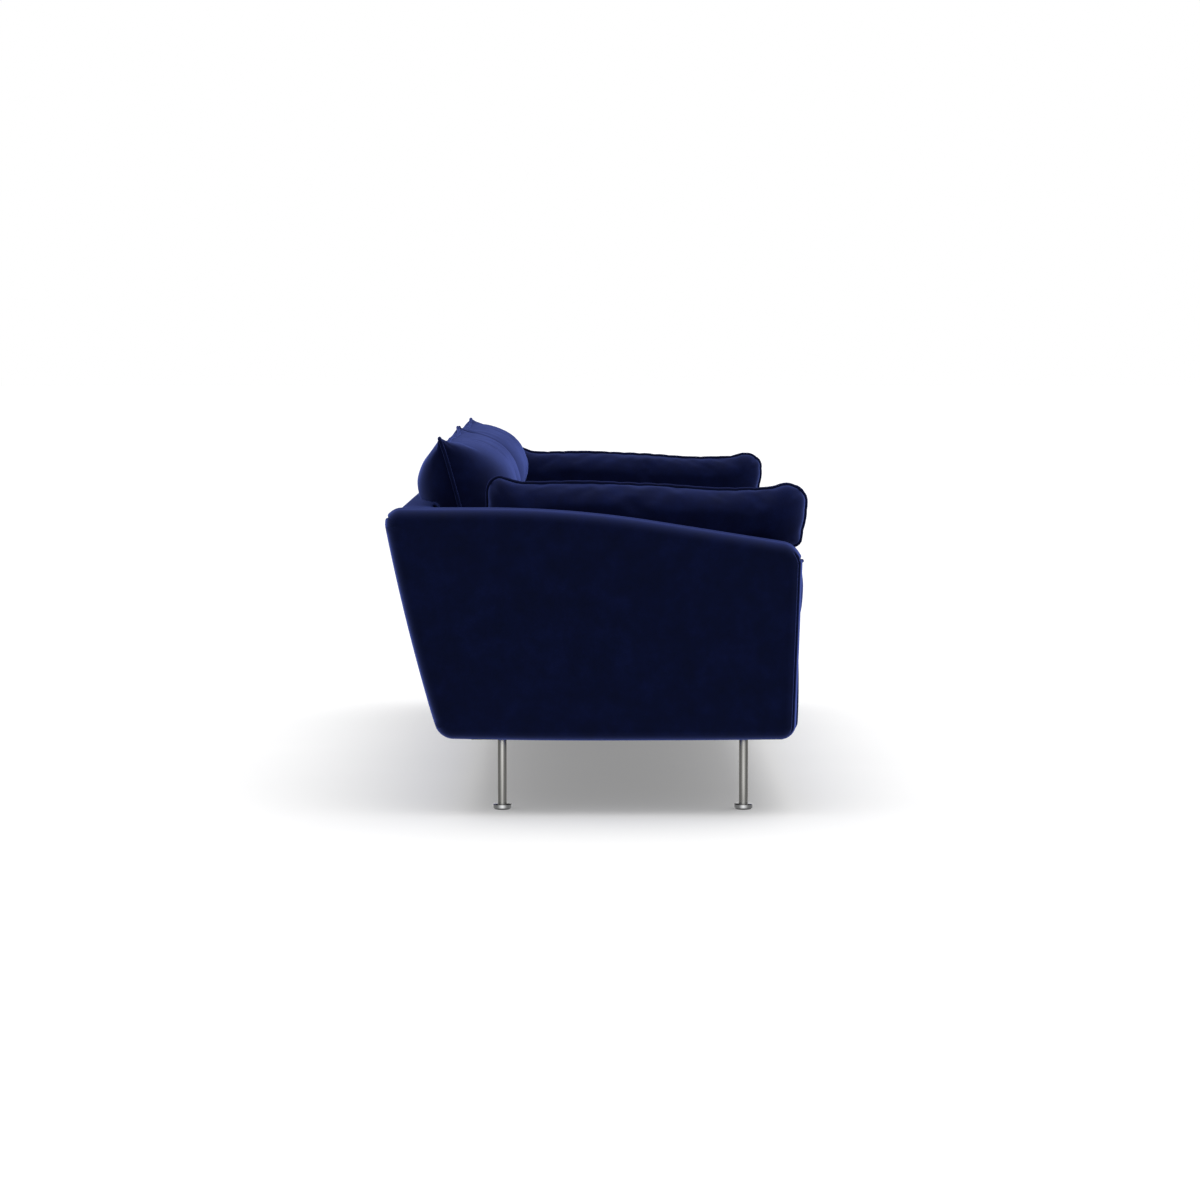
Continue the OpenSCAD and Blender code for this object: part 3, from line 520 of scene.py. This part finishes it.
low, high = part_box("front_border_cover")
BORDER_R, BORDER_FOOT_R = 0.016, 0.030
BORDER_LIFT = 0.005        # how far its lower edge is drawn up
TUCK = 0.014               # how far its ends go in between the arms' rounded edges
BORDER_END_R = 0.006
BELLY = 0.004              # how far its face swells forwards


def border_outline(inset):
    corners = ((low.y + BORDER_FOOT_R, low.z + BORDER_FOOT_R, 180, BORDER_FOOT_R),
               (high.y - BORDER_R, low.z + BORDER_R, 270, BORDER_R),
               (high.y - BORDER_R, high.z - BORDER_R, 0, BORDER_R),
               (low.y + BORDER_R, high.z - BORDER_R, 90, BORDER_R))
    arcs = [arc((y, z), r - inset, start, start + 90, 8) for y, z, start, r in corners]
    points = joined((arcs[0], 6), (arcs[1], 14), (arcs[2], 6), (arcs[3], 14))
    middle, half = (low.z + high.z) / 2, (high.z - low.z) / 2
    return [(y - (BELLY * (1 - ((z - middle) / half) ** 2) if y < low.y + 0.01 else 0.0),
             z + BORDER_LIFT * (1 - ease(z, low.z, low.z + 0.05))) for y, z in points]


stops = [high.x + TUCK - BORDER_END_R * (1 - math.cos(math.radians(a))) for a in (0, 30, 60, 90)]
stops += [0.9, 0.75, 0.6, 0.45, 0.3, 0.15, 0.0]
insets = [BORDER_END_R * (1 - math.sin(math.radians(a))) for a in (0, 30, 60, 90)] + [0.0] * 7
line = list(zip(stops, insets)) + [(-x, i) for x, i in reversed(list(zip(stops, insets))[:-1])]
rings = [[(x, y + 0.001 * noise.noise(Vector((x * 5, 0, z * 9))), z) for y, z in border_outline(inset)]
         for x, inset in line]
border = skinned("padded_front_border", rings, shell_velvet)
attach(border, "frame")
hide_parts("front_border_foam", "front_border_cover")


# ---- Legs, feet and glides ----
# Four legs of satin stainless tube on steel plates. A polished disc foot turns on a thread in
# each leg and stands on a moulded nylon glide.

def turned(name, profile, centre, mat, sides=64):
    """A round piece from a profile of (radius, height), bottom to top."""
    turns = [2 * math.pi * i / sides for i in range(sides)]
    rings = [[(centre[0] + r * math.cos(a), centre[1] + r * math.sin(a), z) for a in turns]
             for r, z in profile]
    obj = skinned(name, rings, mat)
    obj.data.set_sharp_from_angle(angle=math.radians(35))
    return obj


def edged(profile, bevel):
    """Rounds each corner of a profile with a small arc in three cuts."""
    out = [profile[0]]
    for a, b, c in zip(profile, profile[1:], profile[2:]):
        cut = min(bevel, math.dist(a, b) / 2.2, math.dist(b, c) / 2.2)
        p = [b[k] + (a[k] - b[k]) * cut / math.dist(a, b) for k in (0, 1)]
        q = [b[k] + (c[k] - b[k]) * cut / math.dist(b, c) for k in (0, 1)]
        m = [(p[k] + q[k]) / 4 + b[k] / 2 for k in (0, 1)]
        out += [tuple(p), tuple(m), tuple(q)]
    return out + [profile[-1]]


def satin_stainless(name):
    # Stainless tube, ground along its length with fine grit: long soft streaks in a bright grey.
    mat = new_material(name)
    grit = figured(mat, (0.0011, 0.0011, 0.09), Detail=4.0)
    colour = shades(mat, grit, (0.3, "#b4b3b0"), (0.7, "#dad9d5"))
    return surface(mat, colour, ranged(mat, grit, 0.14, 0.26), grit, 0.00005, Metallic=1.0)


def polished_chrome(name):
    # Turned steel, nickel and chrome plated: nearly a mirror, with a faint haze from handling.
    mat = new_material(name)
    haze = figured(mat, 0.008, Detail=3.0)
    colour = shades(mat, haze, (0.3, "#cfd0d2"), (0.7, "#e6e7e8"))
    return surface(mat, colour, ranged(mat, haze, 0.06, 0.15), haze, 0.00003, Metallic=1.0)


def moulded_nylon(name):
    # Black moulded nylon: a low gloss with a fine spark-eroded grain.
    mat = new_material(name)
    grain = figured(mat, 0.0008, Detail=2.0)
    colour = shades(mat, grain, (0.3, "#17181a"), (0.7, "#222326"))
    return surface(mat, colour, ranged(mat, grain, 0.42, 0.58), grain, 0.0001, IOR=1.53)


stainless = satin_stainless("stainless steel, satin ground")
chrome = polished_chrome("steel, chrome plated")
nylon = moulded_nylon("nylon, moulded")
TUBE_R, STUD_R, THREAD_R, THREAD_PITCH = 0.010, 0.005, 0.004, 0.00125
DISC_T, THREAD_DEPTH = 0.0085, 0.0006
for place in ("front_left", "front_right", "rear_left", "rear_right"):
    low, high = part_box("leg_" + place)
    centre = ((low.x + high.x) / 2, (low.y + high.y) / 2)
    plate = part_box("leg_plates")[0].z
    profile = edged([(0.0042, low.z + 0.0004), (0.0044, low.z), (TUBE_R, low.z), (TUBE_R, plate),
                     (STUD_R, plate), (STUD_R, high.z), (0.0004, high.z)], 0.0008)
    tube = turned("leg_tube_" + place, profile, centre, stainless)
    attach(tube, "frame")
    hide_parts("leg_" + place)

    low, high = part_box("foot_" + place)
    disc_r, disc_top = (high.x - low.x) / 2, low.z + DISC_T
    profile = edged([(0.0035, low.z), (disc_r - 0.0010, low.z), (disc_r, low.z + 0.0010),
                     (disc_r, disc_top), (THREAD_R, disc_top)], 0.0009)[:-1]
    z = disc_top
    while z < high.z - THREAD_PITCH:
        profile += [(THREAD_R - THREAD_DEPTH, z), (THREAD_R, z + THREAD_PITCH / 2)]
        z += THREAD_PITCH
    foot = turned("disc_foot_" + place, profile + [(0.0004, high.z)], centre, chrome)
    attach(foot, "foot_" + place)
    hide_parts("foot_" + place)

    low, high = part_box("glide_" + place)
    wide = (high.x - low.x) / 2
    profile = edged([(0.002, 0.0), (wide - 0.0006, 0.0), (wide, 0.0006), (wide, 0.0018),
                     (0.003, 0.0018), (0.003, high.z), (0.0004, high.z)], 0.0004)
    glide = turned("glide_" + place, profile, centre, nylon)
    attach(glide, "glide_" + place)
    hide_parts("glide_" + place)


# ---- Seat cushions ----
# Box cushions: sprung foam in a wrap of fibre, in a zipped velvet cover. Velvet-covered cord is
# sewn into the top and bottom seams, and the corners of the seams stand up as soft ears.

cushion_velvet = woven_velvet("navy velvet cushion cover, woven and sheared",
                              "#050b2b", "#080f33", "#0c153e", "#6a7edc")
# The piping is the same navy velvet as the covers. Its darker colours and duller sheen tint are painted
# shade, so the cords read as dark lines along the seams.
cord_velvet_painted_shade = woven_velvet("navy velvet piping, cut on the bias",
                           "#03071c", "#060b28", "#0a1134", "#4656a8", 0.5)


def tube_loop(name, points, radius, mat, sides=12):
    """A covered cord of one radius along a closed loop of points."""
    n = len(points)
    points = [Vector(p) for p in points]
    rows, faces = [], []
    up = Vector((0, 0, 1))
    for i, point in enumerate(points):
        ahead = (points[(i + 1) % n] - points[i - 1]).normalized()
        across = up - ahead * up.dot(ahead)
        across.normalize()
        other = ahead.cross(across)
        up = across
        for k in range(sides):
            a = 2 * math.pi * k / sides
            rows.append(point + (across * math.cos(a) + other * math.sin(a)) * radius)
    # the last ring meets the first at the nearest turn
    last, first = rows[-sides:], rows[:sides]
    shift = min(range(sides), key=lambda s: (last[0] - first[s]).length)
    for i in range(n):
        for k in range(sides):
            m = (k + 1) % sides
            j = (i + 1) % n
            off = shift if j == 0 else 0
            faces.append((i * sides + k, i * sides + m,
                          j * sides + (m + off) % sides, j * sides + (k + off) % sides))
    return piece(name, rows, faces, mat)


def puffed(obj, pinned, cap, pressure=4.0, slack=-0.015):
    """Swells a cover from inside with its seams held, and keeps the result. No point moves past cap."""
    scene = bpy.context.scene
    start = [v.co.copy() for v in obj.data.vertices]
    obj.vertex_groups.new(name="seam").add(pinned, 1.0, "REPLACE")
    cloth = obj.modifiers.new("Cloth", "CLOTH")
    cloth.settings.quality = 4
    cloth.settings.mass = 0.3
    cloth.settings.use_pressure = True
    cloth.settings.uniform_pressure_force = pressure
    cloth.settings.shrink_min = slack
    cloth.settings.vertex_group_mass = "seam"
    cloth.settings.effector_weights.gravity = 0
    cloth.point_cache.frame_start = 1
    cloth.point_cache.frame_end = 20
    for step in range(1, 21):
        scene.frame_set(step)
    done = obj.evaluated_get(bpy.context.evaluated_depsgraph_get()).data
    moved = [v.co.copy() for v in done.vertices]
    obj.modifiers.remove(cloth)
    scene.frame_set(1)
    for vertex, before, after in zip(obj.data.vertices, start, moved):
        step = after - before
        if step.length > cap:
            step *= cap / step.length
        vertex.co = before + step
    obj.data.update()


def finer(obj, levels=1):
    """Keeps one round of subdivision in the mesh."""
    mod = obj.modifiers.new("Subdivision", "SUBSURF")
    mod.levels = mod.render_levels = levels
    mesh = bpy.data.meshes.new_from_object(obj.evaluated_get(bpy.context.evaluated_depsgraph_get()))
    obj.modifiers.remove(mod)
    obj.data = mesh


def kept(obj, rule):
    """Moves each point to where the cushion's neighbours let it lie."""
    for vertex in obj.data.vertices:
        vertex.co = rule(vertex.co)
    obj.data.update()


CORD_R = 0.0042
seat_low, seat_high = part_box("seat_cover_right")
SEAT_CORNER = 0.034
EAR = 0.011                 # how far a corner of the top seam stands up
SEAT_CROWN, SEAT_SOLE = 0.0075, -0.003           # how far the top and the underside swell
SEAT_BULGE, SEAT_LEAN = 0.0030, 0.0095           # of the front wall
FOOT_RINGS = (0.05, 0.2, 0.4, 0.6, 0.8, 0.93)
TOP_RINGS = (0.97, 0.93, 0.86, 0.76, 0.64, 0.5, 0.35, 0.2, 0.06)
WALL_RINGS = (0, 0.05, 0.14, 0.28, 0.44, 0.6, 0.74, 0.87, 0.95, 1)


def seat_plan(r):
    """Plan outline of a seat cushion with its corners rounded to r."""
    x0, x1 = seat_low.x + 0.0045, seat_high.x - 0.0045
    y0, y1 = seat_low.y + 0.002, seat_high.y - 0.005
    arcs = [arc((x, y), r, start, start + 90, 10) for x, y, start in
            ((x0 + r, y0 + r, 180), (x1 - r, y0 + r, 270), (x1 - r, y1 - r, 0), (x0 + r, y1 - r, 90))]
    return joined((arcs[0], 40), (arcs[1], 32), (arcs[2], 40), (arcs[3], 32))


def seat_corner(x, y):
    """1 at a corner of the cushion, 0 along its sides."""
    u = (x - seat_low.x) / (seat_high.x - seat_low.x) * 2 - 1
    v = (y - seat_low.y) / (seat_high.y - seat_low.y) * 2 - 1
    return abs(u) ** 14 * abs(v) ** 12


def seat_cushion(end, side):
    z_low, z_high = seat_low.z + CORD_R + 0.004, seat_high.z - CORD_R - 0.001
    plan = seat_plan(SEAT_CORNER)
    mid = ((seat_low.x + seat_high.x) / 2, (seat_low.y + seat_high.y) / 2)
    rings, seams = [], {}

    def ruffle(i, level):
        return 0.0011 * math.sin(i * 1.9 + side) + 0.0008 * math.sin(i * 0.83 + 2 * level)

    def crowned(scale, level, lift):
        ring = []
        for x, y in plan:
            px, py = mid[0] + (x - mid[0]) * scale, mid[1] + (y - mid[1]) * scale
            u = (px - mid[0]) / (seat_high.x - mid[0])
            v = (py - mid[1]) / (seat_high.y - mid[1])
            crown = lift * (1 - abs(u) ** 5) ** 0.7 * (1 - abs(v) ** 4) ** 0.7
            ring.append((px, py, level + crown + (EAR * seat_corner(px, py) if lift > 0 else 0)))
        return ring

    for scale in FOOT_RINGS:
        rings.append(crowned(scale, z_low, SEAT_SOLE))
    for t in WALL_RINGS:
        ring = []
        for i, (x, y) in enumerate(plan):
            bulge = SEAT_BULGE * math.sin(math.pi * t) ** 0.8
            front = ease(mid[1] - y, 0.2, 0.35)
            lean = front * (SEAT_LEAN * (1 - t) - SEAT_BULGE * math.sin(math.pi * t))
            y2 = y + (-bulge if y < mid[1] else bulge) * front + lean
            z = z_low + (z_high - z_low) * t + EAR * seat_corner(x, y) * ease(t, 0.6, 1.0)
            pinch = (math.exp(-(t / 0.08) ** 2) + math.exp(-((1 - t) / 0.08) ** 2)) * ruffle(i, t)
            ring.append((x, y2 - pinch * front, z))
        if t in (0, 1):
            seams[t] = ring
        rings.append(ring)
    for scale in TOP_RINGS:
        rings.append(crowned(scale, z_high, SEAT_CROWN))
    rings = [[(side * x, y, z) for x, y, z in ring] for ring in rings]
    obj = skinned("seat_cushion_" + end, rings, cushion_velvet)
    n, first = len(plan), len(FOOT_RINGS)
    last = first + len(WALL_RINGS) - 1
    held = [first * n + i for i in range(n)] + [last * n + i for i in range(n)]
    puffed(obj, held, 0.0025, 3.0)

    def rule(p):
        x = hold(abs(p.x), seat_low.x + 0.0003, seat_high.x - 0.0003) * side
        return Vector((x, min(p.y, seat_high.y), max(p.z, seat_low.z)))

    kept(obj, rule)
    finer(obj)
    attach(obj, "seat_cushion_" + end)
    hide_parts("seat_cover_" + end, "seat_core_" + end)
    for t, word in ((0, "bottom"), (1, "top")):
        cord = tube_loop("seat_piping_%s_%s" % (word, end),
                         [(side * x, y, z) for x, y, z in seams[t]], CORD_R, cord_velvet_painted_shade)
        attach(cord, "seat_cushion_" + end)


for side, end in ((-1, "left"), (1, "right")):
    seat_cushion(end, side)


# ---- Back cushions ----
# Knife-edged feather and fibre cushions in zipped velvet covers, piped all round. They lean on
# the back, swell over its rail, and their corners draw out into narrow ears.

def pillow_grid(count_u, count_v):
    """Places from -1 to 1 along and across a pillow, closer together near its edges."""
    places = []
    for n in (count_u, count_v):
        even = [2 * i / n - 1 for i in range(n + 1)]
        places.append([math.sin(math.pi / 2 * t) * 0.75 + t * 0.25 for t in even])
    return places


def pillow(name, seam_point, front, rear, counts, mat):
    """A closed pillow: seam_point(u, v) lies on the middle sheet, and front and rear give its two swells.
    Returns the piece and the indices of its seam in order."""
    us, vs = pillow_grid(*counts)
    rows, index = [], {}
    for i, u in enumerate(us):
        for j, v in enumerate(vs):
            edge = i in (0, counts[0]) or j in (0, counts[1])
            for face, swell in ((0, front), (1, rear)):
                if edge and face:
                    index[i, j, 1] = index[i, j, 0]
                    continue
                index[i, j, face] = len(rows)
                rows.append(seam_point(u, v) if edge else seam_point(u, v) + swell(u, v))
    faces = []
    for i in range(counts[0]):
        for j in range(counts[1]):
            for face in (0, 1):
                quad = [index[i, j, face], index[i + 1, j, face],
                        index[i + 1, j + 1, face], index[i, j + 1, face]]
                faces.append(tuple(quad if face == 0 else reversed(quad)))
    loop = [(i, 0) for i in range(counts[0])] + [(counts[0], j) for j in range(counts[1])]
    loop += [(i, counts[1]) for i in range(counts[0], 0, -1)] + [(0, j) for j in range(counts[1], 0, -1)]
    obj = piece(name, rows, faces, mat)
    middle = sum((Vector(r) for r in rows), Vector()) / len(rows)
    if sum(f.normal.dot(f.center - middle) * f.area for f in obj.data.polygons) < 0:
        obj.data.flip_normals()
    return obj, [index[i, j, 0] for i, j in loop]


def rounded_square(u, v, r_u, r_v):
    """Pulls the corners of the square from -1 to 1 in to a rounding of r_u by r_v."""
    a, b = max(0.0, (abs(u) - 1 + r_u) / r_u), max(0.0, (abs(v) - 1 + r_v) / r_v)
    if a > 0 and b > 0:
        # keep the direction, and limit the reach to a quarter of an ellipse
        reach = math.hypot(a, b)
        limit = max(a, b) / reach
        a, b = a * limit, b * limit
        u = math.copysign(1 - r_u + a * r_u, u)
        v = math.copysign(1 - r_v + b * r_v, v)
    return u, v


LEANING = math.radians(15.2)         # lean of the cushion's seam from upright
up_slope = Vector((0, math.sin(LEANING), math.cos(LEANING)))
out_front = Vector((0, -math.cos(LEANING), math.sin(LEANING)))
BACK_X0, BACK_X1 = 0.006, 0.8395
SEAM_MID = Vector((0, 0.306, 0.649))
SEAM_FOOT, SEAM_TOP = SEAM_MID - up_slope * 0.103, SEAM_MID + up_slope * 0.1595
FRONT_SWELL, REAR_SWELL, CROWN_RISE = 0.120, 0.083, 0.006
DRAW_V, DRAW_U = 0.019, 0.008        # how far its long sides and its ends draw in between the corners
BACK_SINK, RAIL_GAP = 0.0035, 0.0042   # how far it lies into the back's foam, and above the rail
seat_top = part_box("back_cushion_cover_right")[0].z


def back_cushion(end, side):
    half_x, half_d = (BACK_X1 - BACK_X0) / 2, (SEAM_TOP - SEAM_FOOT).length / 2
    centre = (SEAM_TOP + SEAM_FOOT) / 2 + Vector(((BACK_X0 + BACK_X1) / 2, 0, 0))

    def seam_point(u, v):
        u2, v2 = rounded_square(u, v, 0.035, 0.085)
        # the sides draw in between the corners, and the seam is a little ruffled
        draw_v = DRAW_V * (1 - abs(u) ** 9) * abs(v) ** 3
        draw_u = DRAW_U * (1 - abs(v) ** 4) * abs(u) ** 3
        ruffle = 0.0011 * math.sin(31 * u + side) * abs(v) ** 8 + 0.0009 * math.sin(17 * v) * abs(u) ** 8
        p = centre + Vector((u2 * half_x - math.copysign(draw_u, u), 0, 0))
        p += up_slope * (v2 * half_d - math.copysign(draw_v + ruffle, v))
        p += out_front * 0.004 * math.sin(5.1 * u + side) * abs(v) ** 4
        return Vector((side * p.x, p.y, p.z))

    def ends(u, v, power_u, power_v, blunt):
        edge_u = max(0.0, 1 - abs(u) ** power_u)
        edge_v = max(0.0, 1 - abs(v) ** power_v)
        return edge_u ** 0.56 * edge_v ** blunt

    def crease(u, v):
        near = abs(u) ** 6 + abs(v) ** 6
        lumps = 0.004 * noise.noise(Vector((u * 2.2, v * 1.6, side * 4)))
        return 0.0022 * near * math.sin(23 * u + 9 * v + side) + lumps

    def front(u, v):
        # the fill settles low in front, and the top of the cover rises over its seam
        low = 1 + 0.14 * max(0.0, -v)
        rise = CROWN_RISE * max(0.0, v) ** 2 * ends(u, v, 12, 4, 0.5)
        swell = FRONT_SWELL * low * ends(u, v, 5, 2.0, 0.62)
        return out_front * (swell + crease(u, v) * ends(u, v, 4, 4, 1)) + up_slope * rise

    def rear(u, v):
        return -out_front * (REAR_SWELL * ends(u, v, 9, 2.6, 0.6) + crease(-u, v) * ends(u, v, 4, 4, 1))

    obj, seam_loop = pillow("back_cushion_" + end, seam_point, front, rear, (64, 30), cushion_velvet)
    puffed(obj, seam_loop, 0.006, 4.0, -0.010)
    box_low, box_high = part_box("back_cushion_cover_right")

    def rule(p):
        x = side * hold(side * p.x, box_low.x - 0.0002, box_high.x + 0.0005)
        y, z = p.y, max(p.z, seat_top + 0.0002)
        face = back_line(z, BACK_T) - BACK_SINK
        over = HEIGHT + RAIL_GAP
        if z < over and y > face:
            if over - z < y - face and z > HEIGHT - 0.03:
                z = over
            else:
                y = face
        return Vector((x, y, z))

    kept(obj, rule)
    cord_points = [obj.data.vertices[i].co.copy() for i in seam_loop]
    finer(obj)
    kept(obj, rule)
    body = "back_cushion_" + end
    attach(obj, body)
    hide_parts("back_cushion_cover_" + end, "back_cushion_core_" + end)
    cord_points = [Vector((p.x, p.y, max(p.z, seat_top + CORD_R))) for p in cord_points]
    cord = tube_loop("back_cushion_piping_" + end, cord_points, CORD_R, cushion_velvet)
    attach(cord, body)


for side, end in ((-1, "left"), (1, "right")):
    back_cushion(end, side)


# ---- Arm cushions ----
# Long knife-edged cushions that stand on the seat against the arms, piped all round, with
# round ears at the corners.

arm_low, arm_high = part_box("arm_cushion_cover_right")
ARM_SWELL = (arm_high.x - arm_low.x) / 2 - 0.0005
PIPE_R = 0.0048
ARM_TOP, ARM_SAG = 0.7105, 0.0145    # height of the top edge, and how far it falls towards the front
FRONT_EAR, REAR_EAR = 0.0110, 0.0135


def arm_cushion(end, side):
    middle_x = (arm_low.x + arm_high.x) / 2
    y_front, y_rear = arm_low.y + PIPE_R, arm_high.y + 0.008 - PIPE_R

    def top_line(y):
        # high at both ears, sagging towards the front between them
        front_ear = FRONT_EAR * math.exp(-(max(0.0, y + 0.404) / 0.028) ** 2)
        rear_ear = REAR_EAR * math.exp(-(min(0.0, y - 0.224) / 0.030) ** 2)
        sagging = ARM_TOP - ARM_SAG * ease(-y, -0.02, 0.30)
        return sagging + front_ear + rear_ear - PIPE_R

    def bottom_line(y):
        return arm_low.z + 0.012 + 0.0125 * ease(-y, 0.30, 0.43)

    def seam_point(u, v):
        u2, v2 = rounded_square(u, v, 0.12, 0.52 if v > 0 else 0.26)
        y = (y_front + y_rear) / 2 + u2 * (y_rear - y_front) / 2
        y -= math.copysign(0.007 * (1 - abs(v) ** 2.5) * abs(u) ** 6, u) if u > 0 else 0.0
        y += 0.013 * ease(0.35 - v, 0.0, 1.35) * abs(u) ** 8 if u < 0 else 0.0
        t = (v2 + 1) / 2
        ruffle = -0.0016 * (1 - abs(math.sin(26 * u + side))) ** 3 - 0.0008 * math.sin(11 * u)
        z = bottom_line(y) + (top_line(y) + ruffle * abs(v) ** 8 - bottom_line(y)) * t
        side_ruffle = 0.0014 * (1 - abs(math.sin(5.2 * v + side))) ** 2 * abs(u) ** 8
        x = middle_x + 0.0035 * math.sin(4.3 * u + side) * abs(v) ** 3
        return Vector((side * x, y + side_ruffle, z))

    def swell(u, v, way):
        full = max(0.0, 1 - abs(u) ** 10) ** 0.55 * max(0.0, 1 - abs(v) ** 2.6) ** 0.55
        near = abs(u) ** 6 + abs(v) ** 6
        crease = 0.0016 * near * math.sin(29 * u + 7 * v + way)
        crease += 0.0025 * noise.noise(Vector((u * 5, v * 1.5, way * 3 + side)))
        return Vector((side * way * (ARM_SWELL * full + crease * full), 0, 0))

    obj, seam_loop = pillow("arm_cushion_" + end, seam_point, lambda u, v: swell(u, v, 1),
                            lambda u, v: swell(u, v, -1), (72, 26), cushion_velvet)
    puffed(obj, seam_loop, 0.004, 3.0, -0.006)

    def rule(p):
        x = side * hold(side * p.x, arm_low.x, arm_high.x + 0.0002)
        return Vector((x, p.y, max(p.z, arm_low.z + 0.0003)))

    kept(obj, rule)
    cord_points = [obj.data.vertices[i].co.copy() for i in seam_loop]
    finer(obj)
    kept(obj, rule)
    body = "arm_cushion_" + end
    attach(obj, body)
    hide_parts("arm_cushion_cover_" + end, "arm_cushion_core_" + end)
    cord_points = [Vector((p.x, p.y, max(p.z, arm_low.z + PIPE_R))) for p in cord_points]
    cord = tube_loop("arm_cushion_piping_" + end, cord_points, PIPE_R, cord_velvet_painted_shade)
    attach(cord, body)


for side, end in ((-1, "left"), (1, "right")):
    arm_cushion(end, side)


# ---- Room, light and camera ----
# A plain pale floor, soft light from above and in front of the sofa, and a camera at the
# height of a standing person's chest, looking along the sofa from its left end.

def pale_floor(name):
    # Matt painted floor: pale, with no figure, and lit evenly from the room around it.
    mat = new_material(name)
    colour = shades(mat, figured(mat, 0.5), (0.0, "#d9d9d9"), (1.0, "#dfdfdf"))
    skin = add(mat, "BsdfPrincipled", {"Base Color": colour, "Roughness": 1.0, "Specular IOR Level": 0.0,
                                       "Emission Color": [1, 1, 1, 1], "Emission Strength": 0.24})
    add(mat, "OutputMaterial", {"Surface": skin.outputs["BSDF"]})
    return mat


FLOOR = 60
floor = piece("floor", [(-FLOOR, -FLOOR, 0), (FLOOR, -FLOOR, 0), (FLOOR, FLOOR, 0), (-FLOOR, FLOOR, 0)],
              [(0, 1, 2, 3)], pale_floor("floor paint, rolled matt"))
floor.visible_diffuse = False
floor.visible_glossy = False

world = bpy.data.worlds.new("studio")
bpy.context.scene.world = world
world.use_nodes = True
world.node_tree.nodes.clear()
way = add(world, "TexCoord")
axes = add(world, "SeparateXYZ", {"Vector": way.outputs["Generated"]})


def glow_from(socket, sign, power, strength):
    """Light that grows towards one side of the room."""
    facing = maths(world, "MAXIMUM", maths(world, "MULTIPLY", socket, sign), 0.0)
    return maths(world, "MULTIPLY", maths(world, "POWER", facing, power), strength)


def background(strength, *parts):
    """Plain white light of one strength, with other parts added to it."""
    for part in parts:
        strength = maths(world, "ADD", part, strength)
    return add(world, "Background", {"Color": [1, 1, 1, 1], "Strength": strength}).outputs[0]


ahead_x, ahead_y, ahead_z = (axes.outputs[name] for name in "XYZ")
soft_light = background(0.035, glow_from(ahead_y, -1, 2.0, 0.7), glow_from(ahead_y, 1, 2.0, 0.45),
                        glow_from(ahead_z, 1, 1.5, 0.8), glow_from(ahead_z, -1, 1.5, 2.4),
                        glow_from(ahead_x, 1, 2.0, 0.3))
# what polished and satin metal mirrors: a lamp panel at each end of the room
mirrored = background(0.2, glow_from(ahead_x, -1, 5.0, 0.85), glow_from(ahead_x, 1, 5.0, 0.6))
backdrop = background(1.0)
seen = add(world, "LightPath")
room_light = add(world, "MixShader", {0: seen.outputs["Is Glossy Ray"], 1: soft_light, 2: mirrored})
view = add(world, "MixShader", {0: seen.outputs["Is Camera Ray"], 1: room_light.outputs[0], 2: backdrop})
add(world, "OutputWorld", {"Surface": view.outputs[0]})


def aimed(obj, place, target):
    obj.location = place
    obj.rotation_euler = (Vector(target) - Vector(place)).to_track_quat("-Z", "Y").to_euler()
    bpy.context.scene.collection.objects.link(obj)


key = bpy.data.lights.new("key", "SUN")
key.energy = 1.8
key.angle = math.radians(70)
aimed(bpy.data.objects.new("key", key), (0.4, -0.05, 3.0), (0, 0, 0))

lens = bpy.data.cameras.new("camera")
lens.sensor_width = 36
lens.lens = 91.7
lens.clip_end = 200
camera = bpy.data.objects.new("camera", lens)
PITCH, YAW = math.radians(4.85), math.radians(0.13)
look = Vector((math.cos(PITCH) * math.cos(YAW), -math.cos(PITCH) * math.sin(YAW), -math.sin(PITCH)))
stand = Vector((-7.510, 0.015, 1.0125))
aimed(camera, stand, stand + look)
bpy.context.scene.camera = camera
bpy.context.scene.view_settings.view_transform = "Standard"
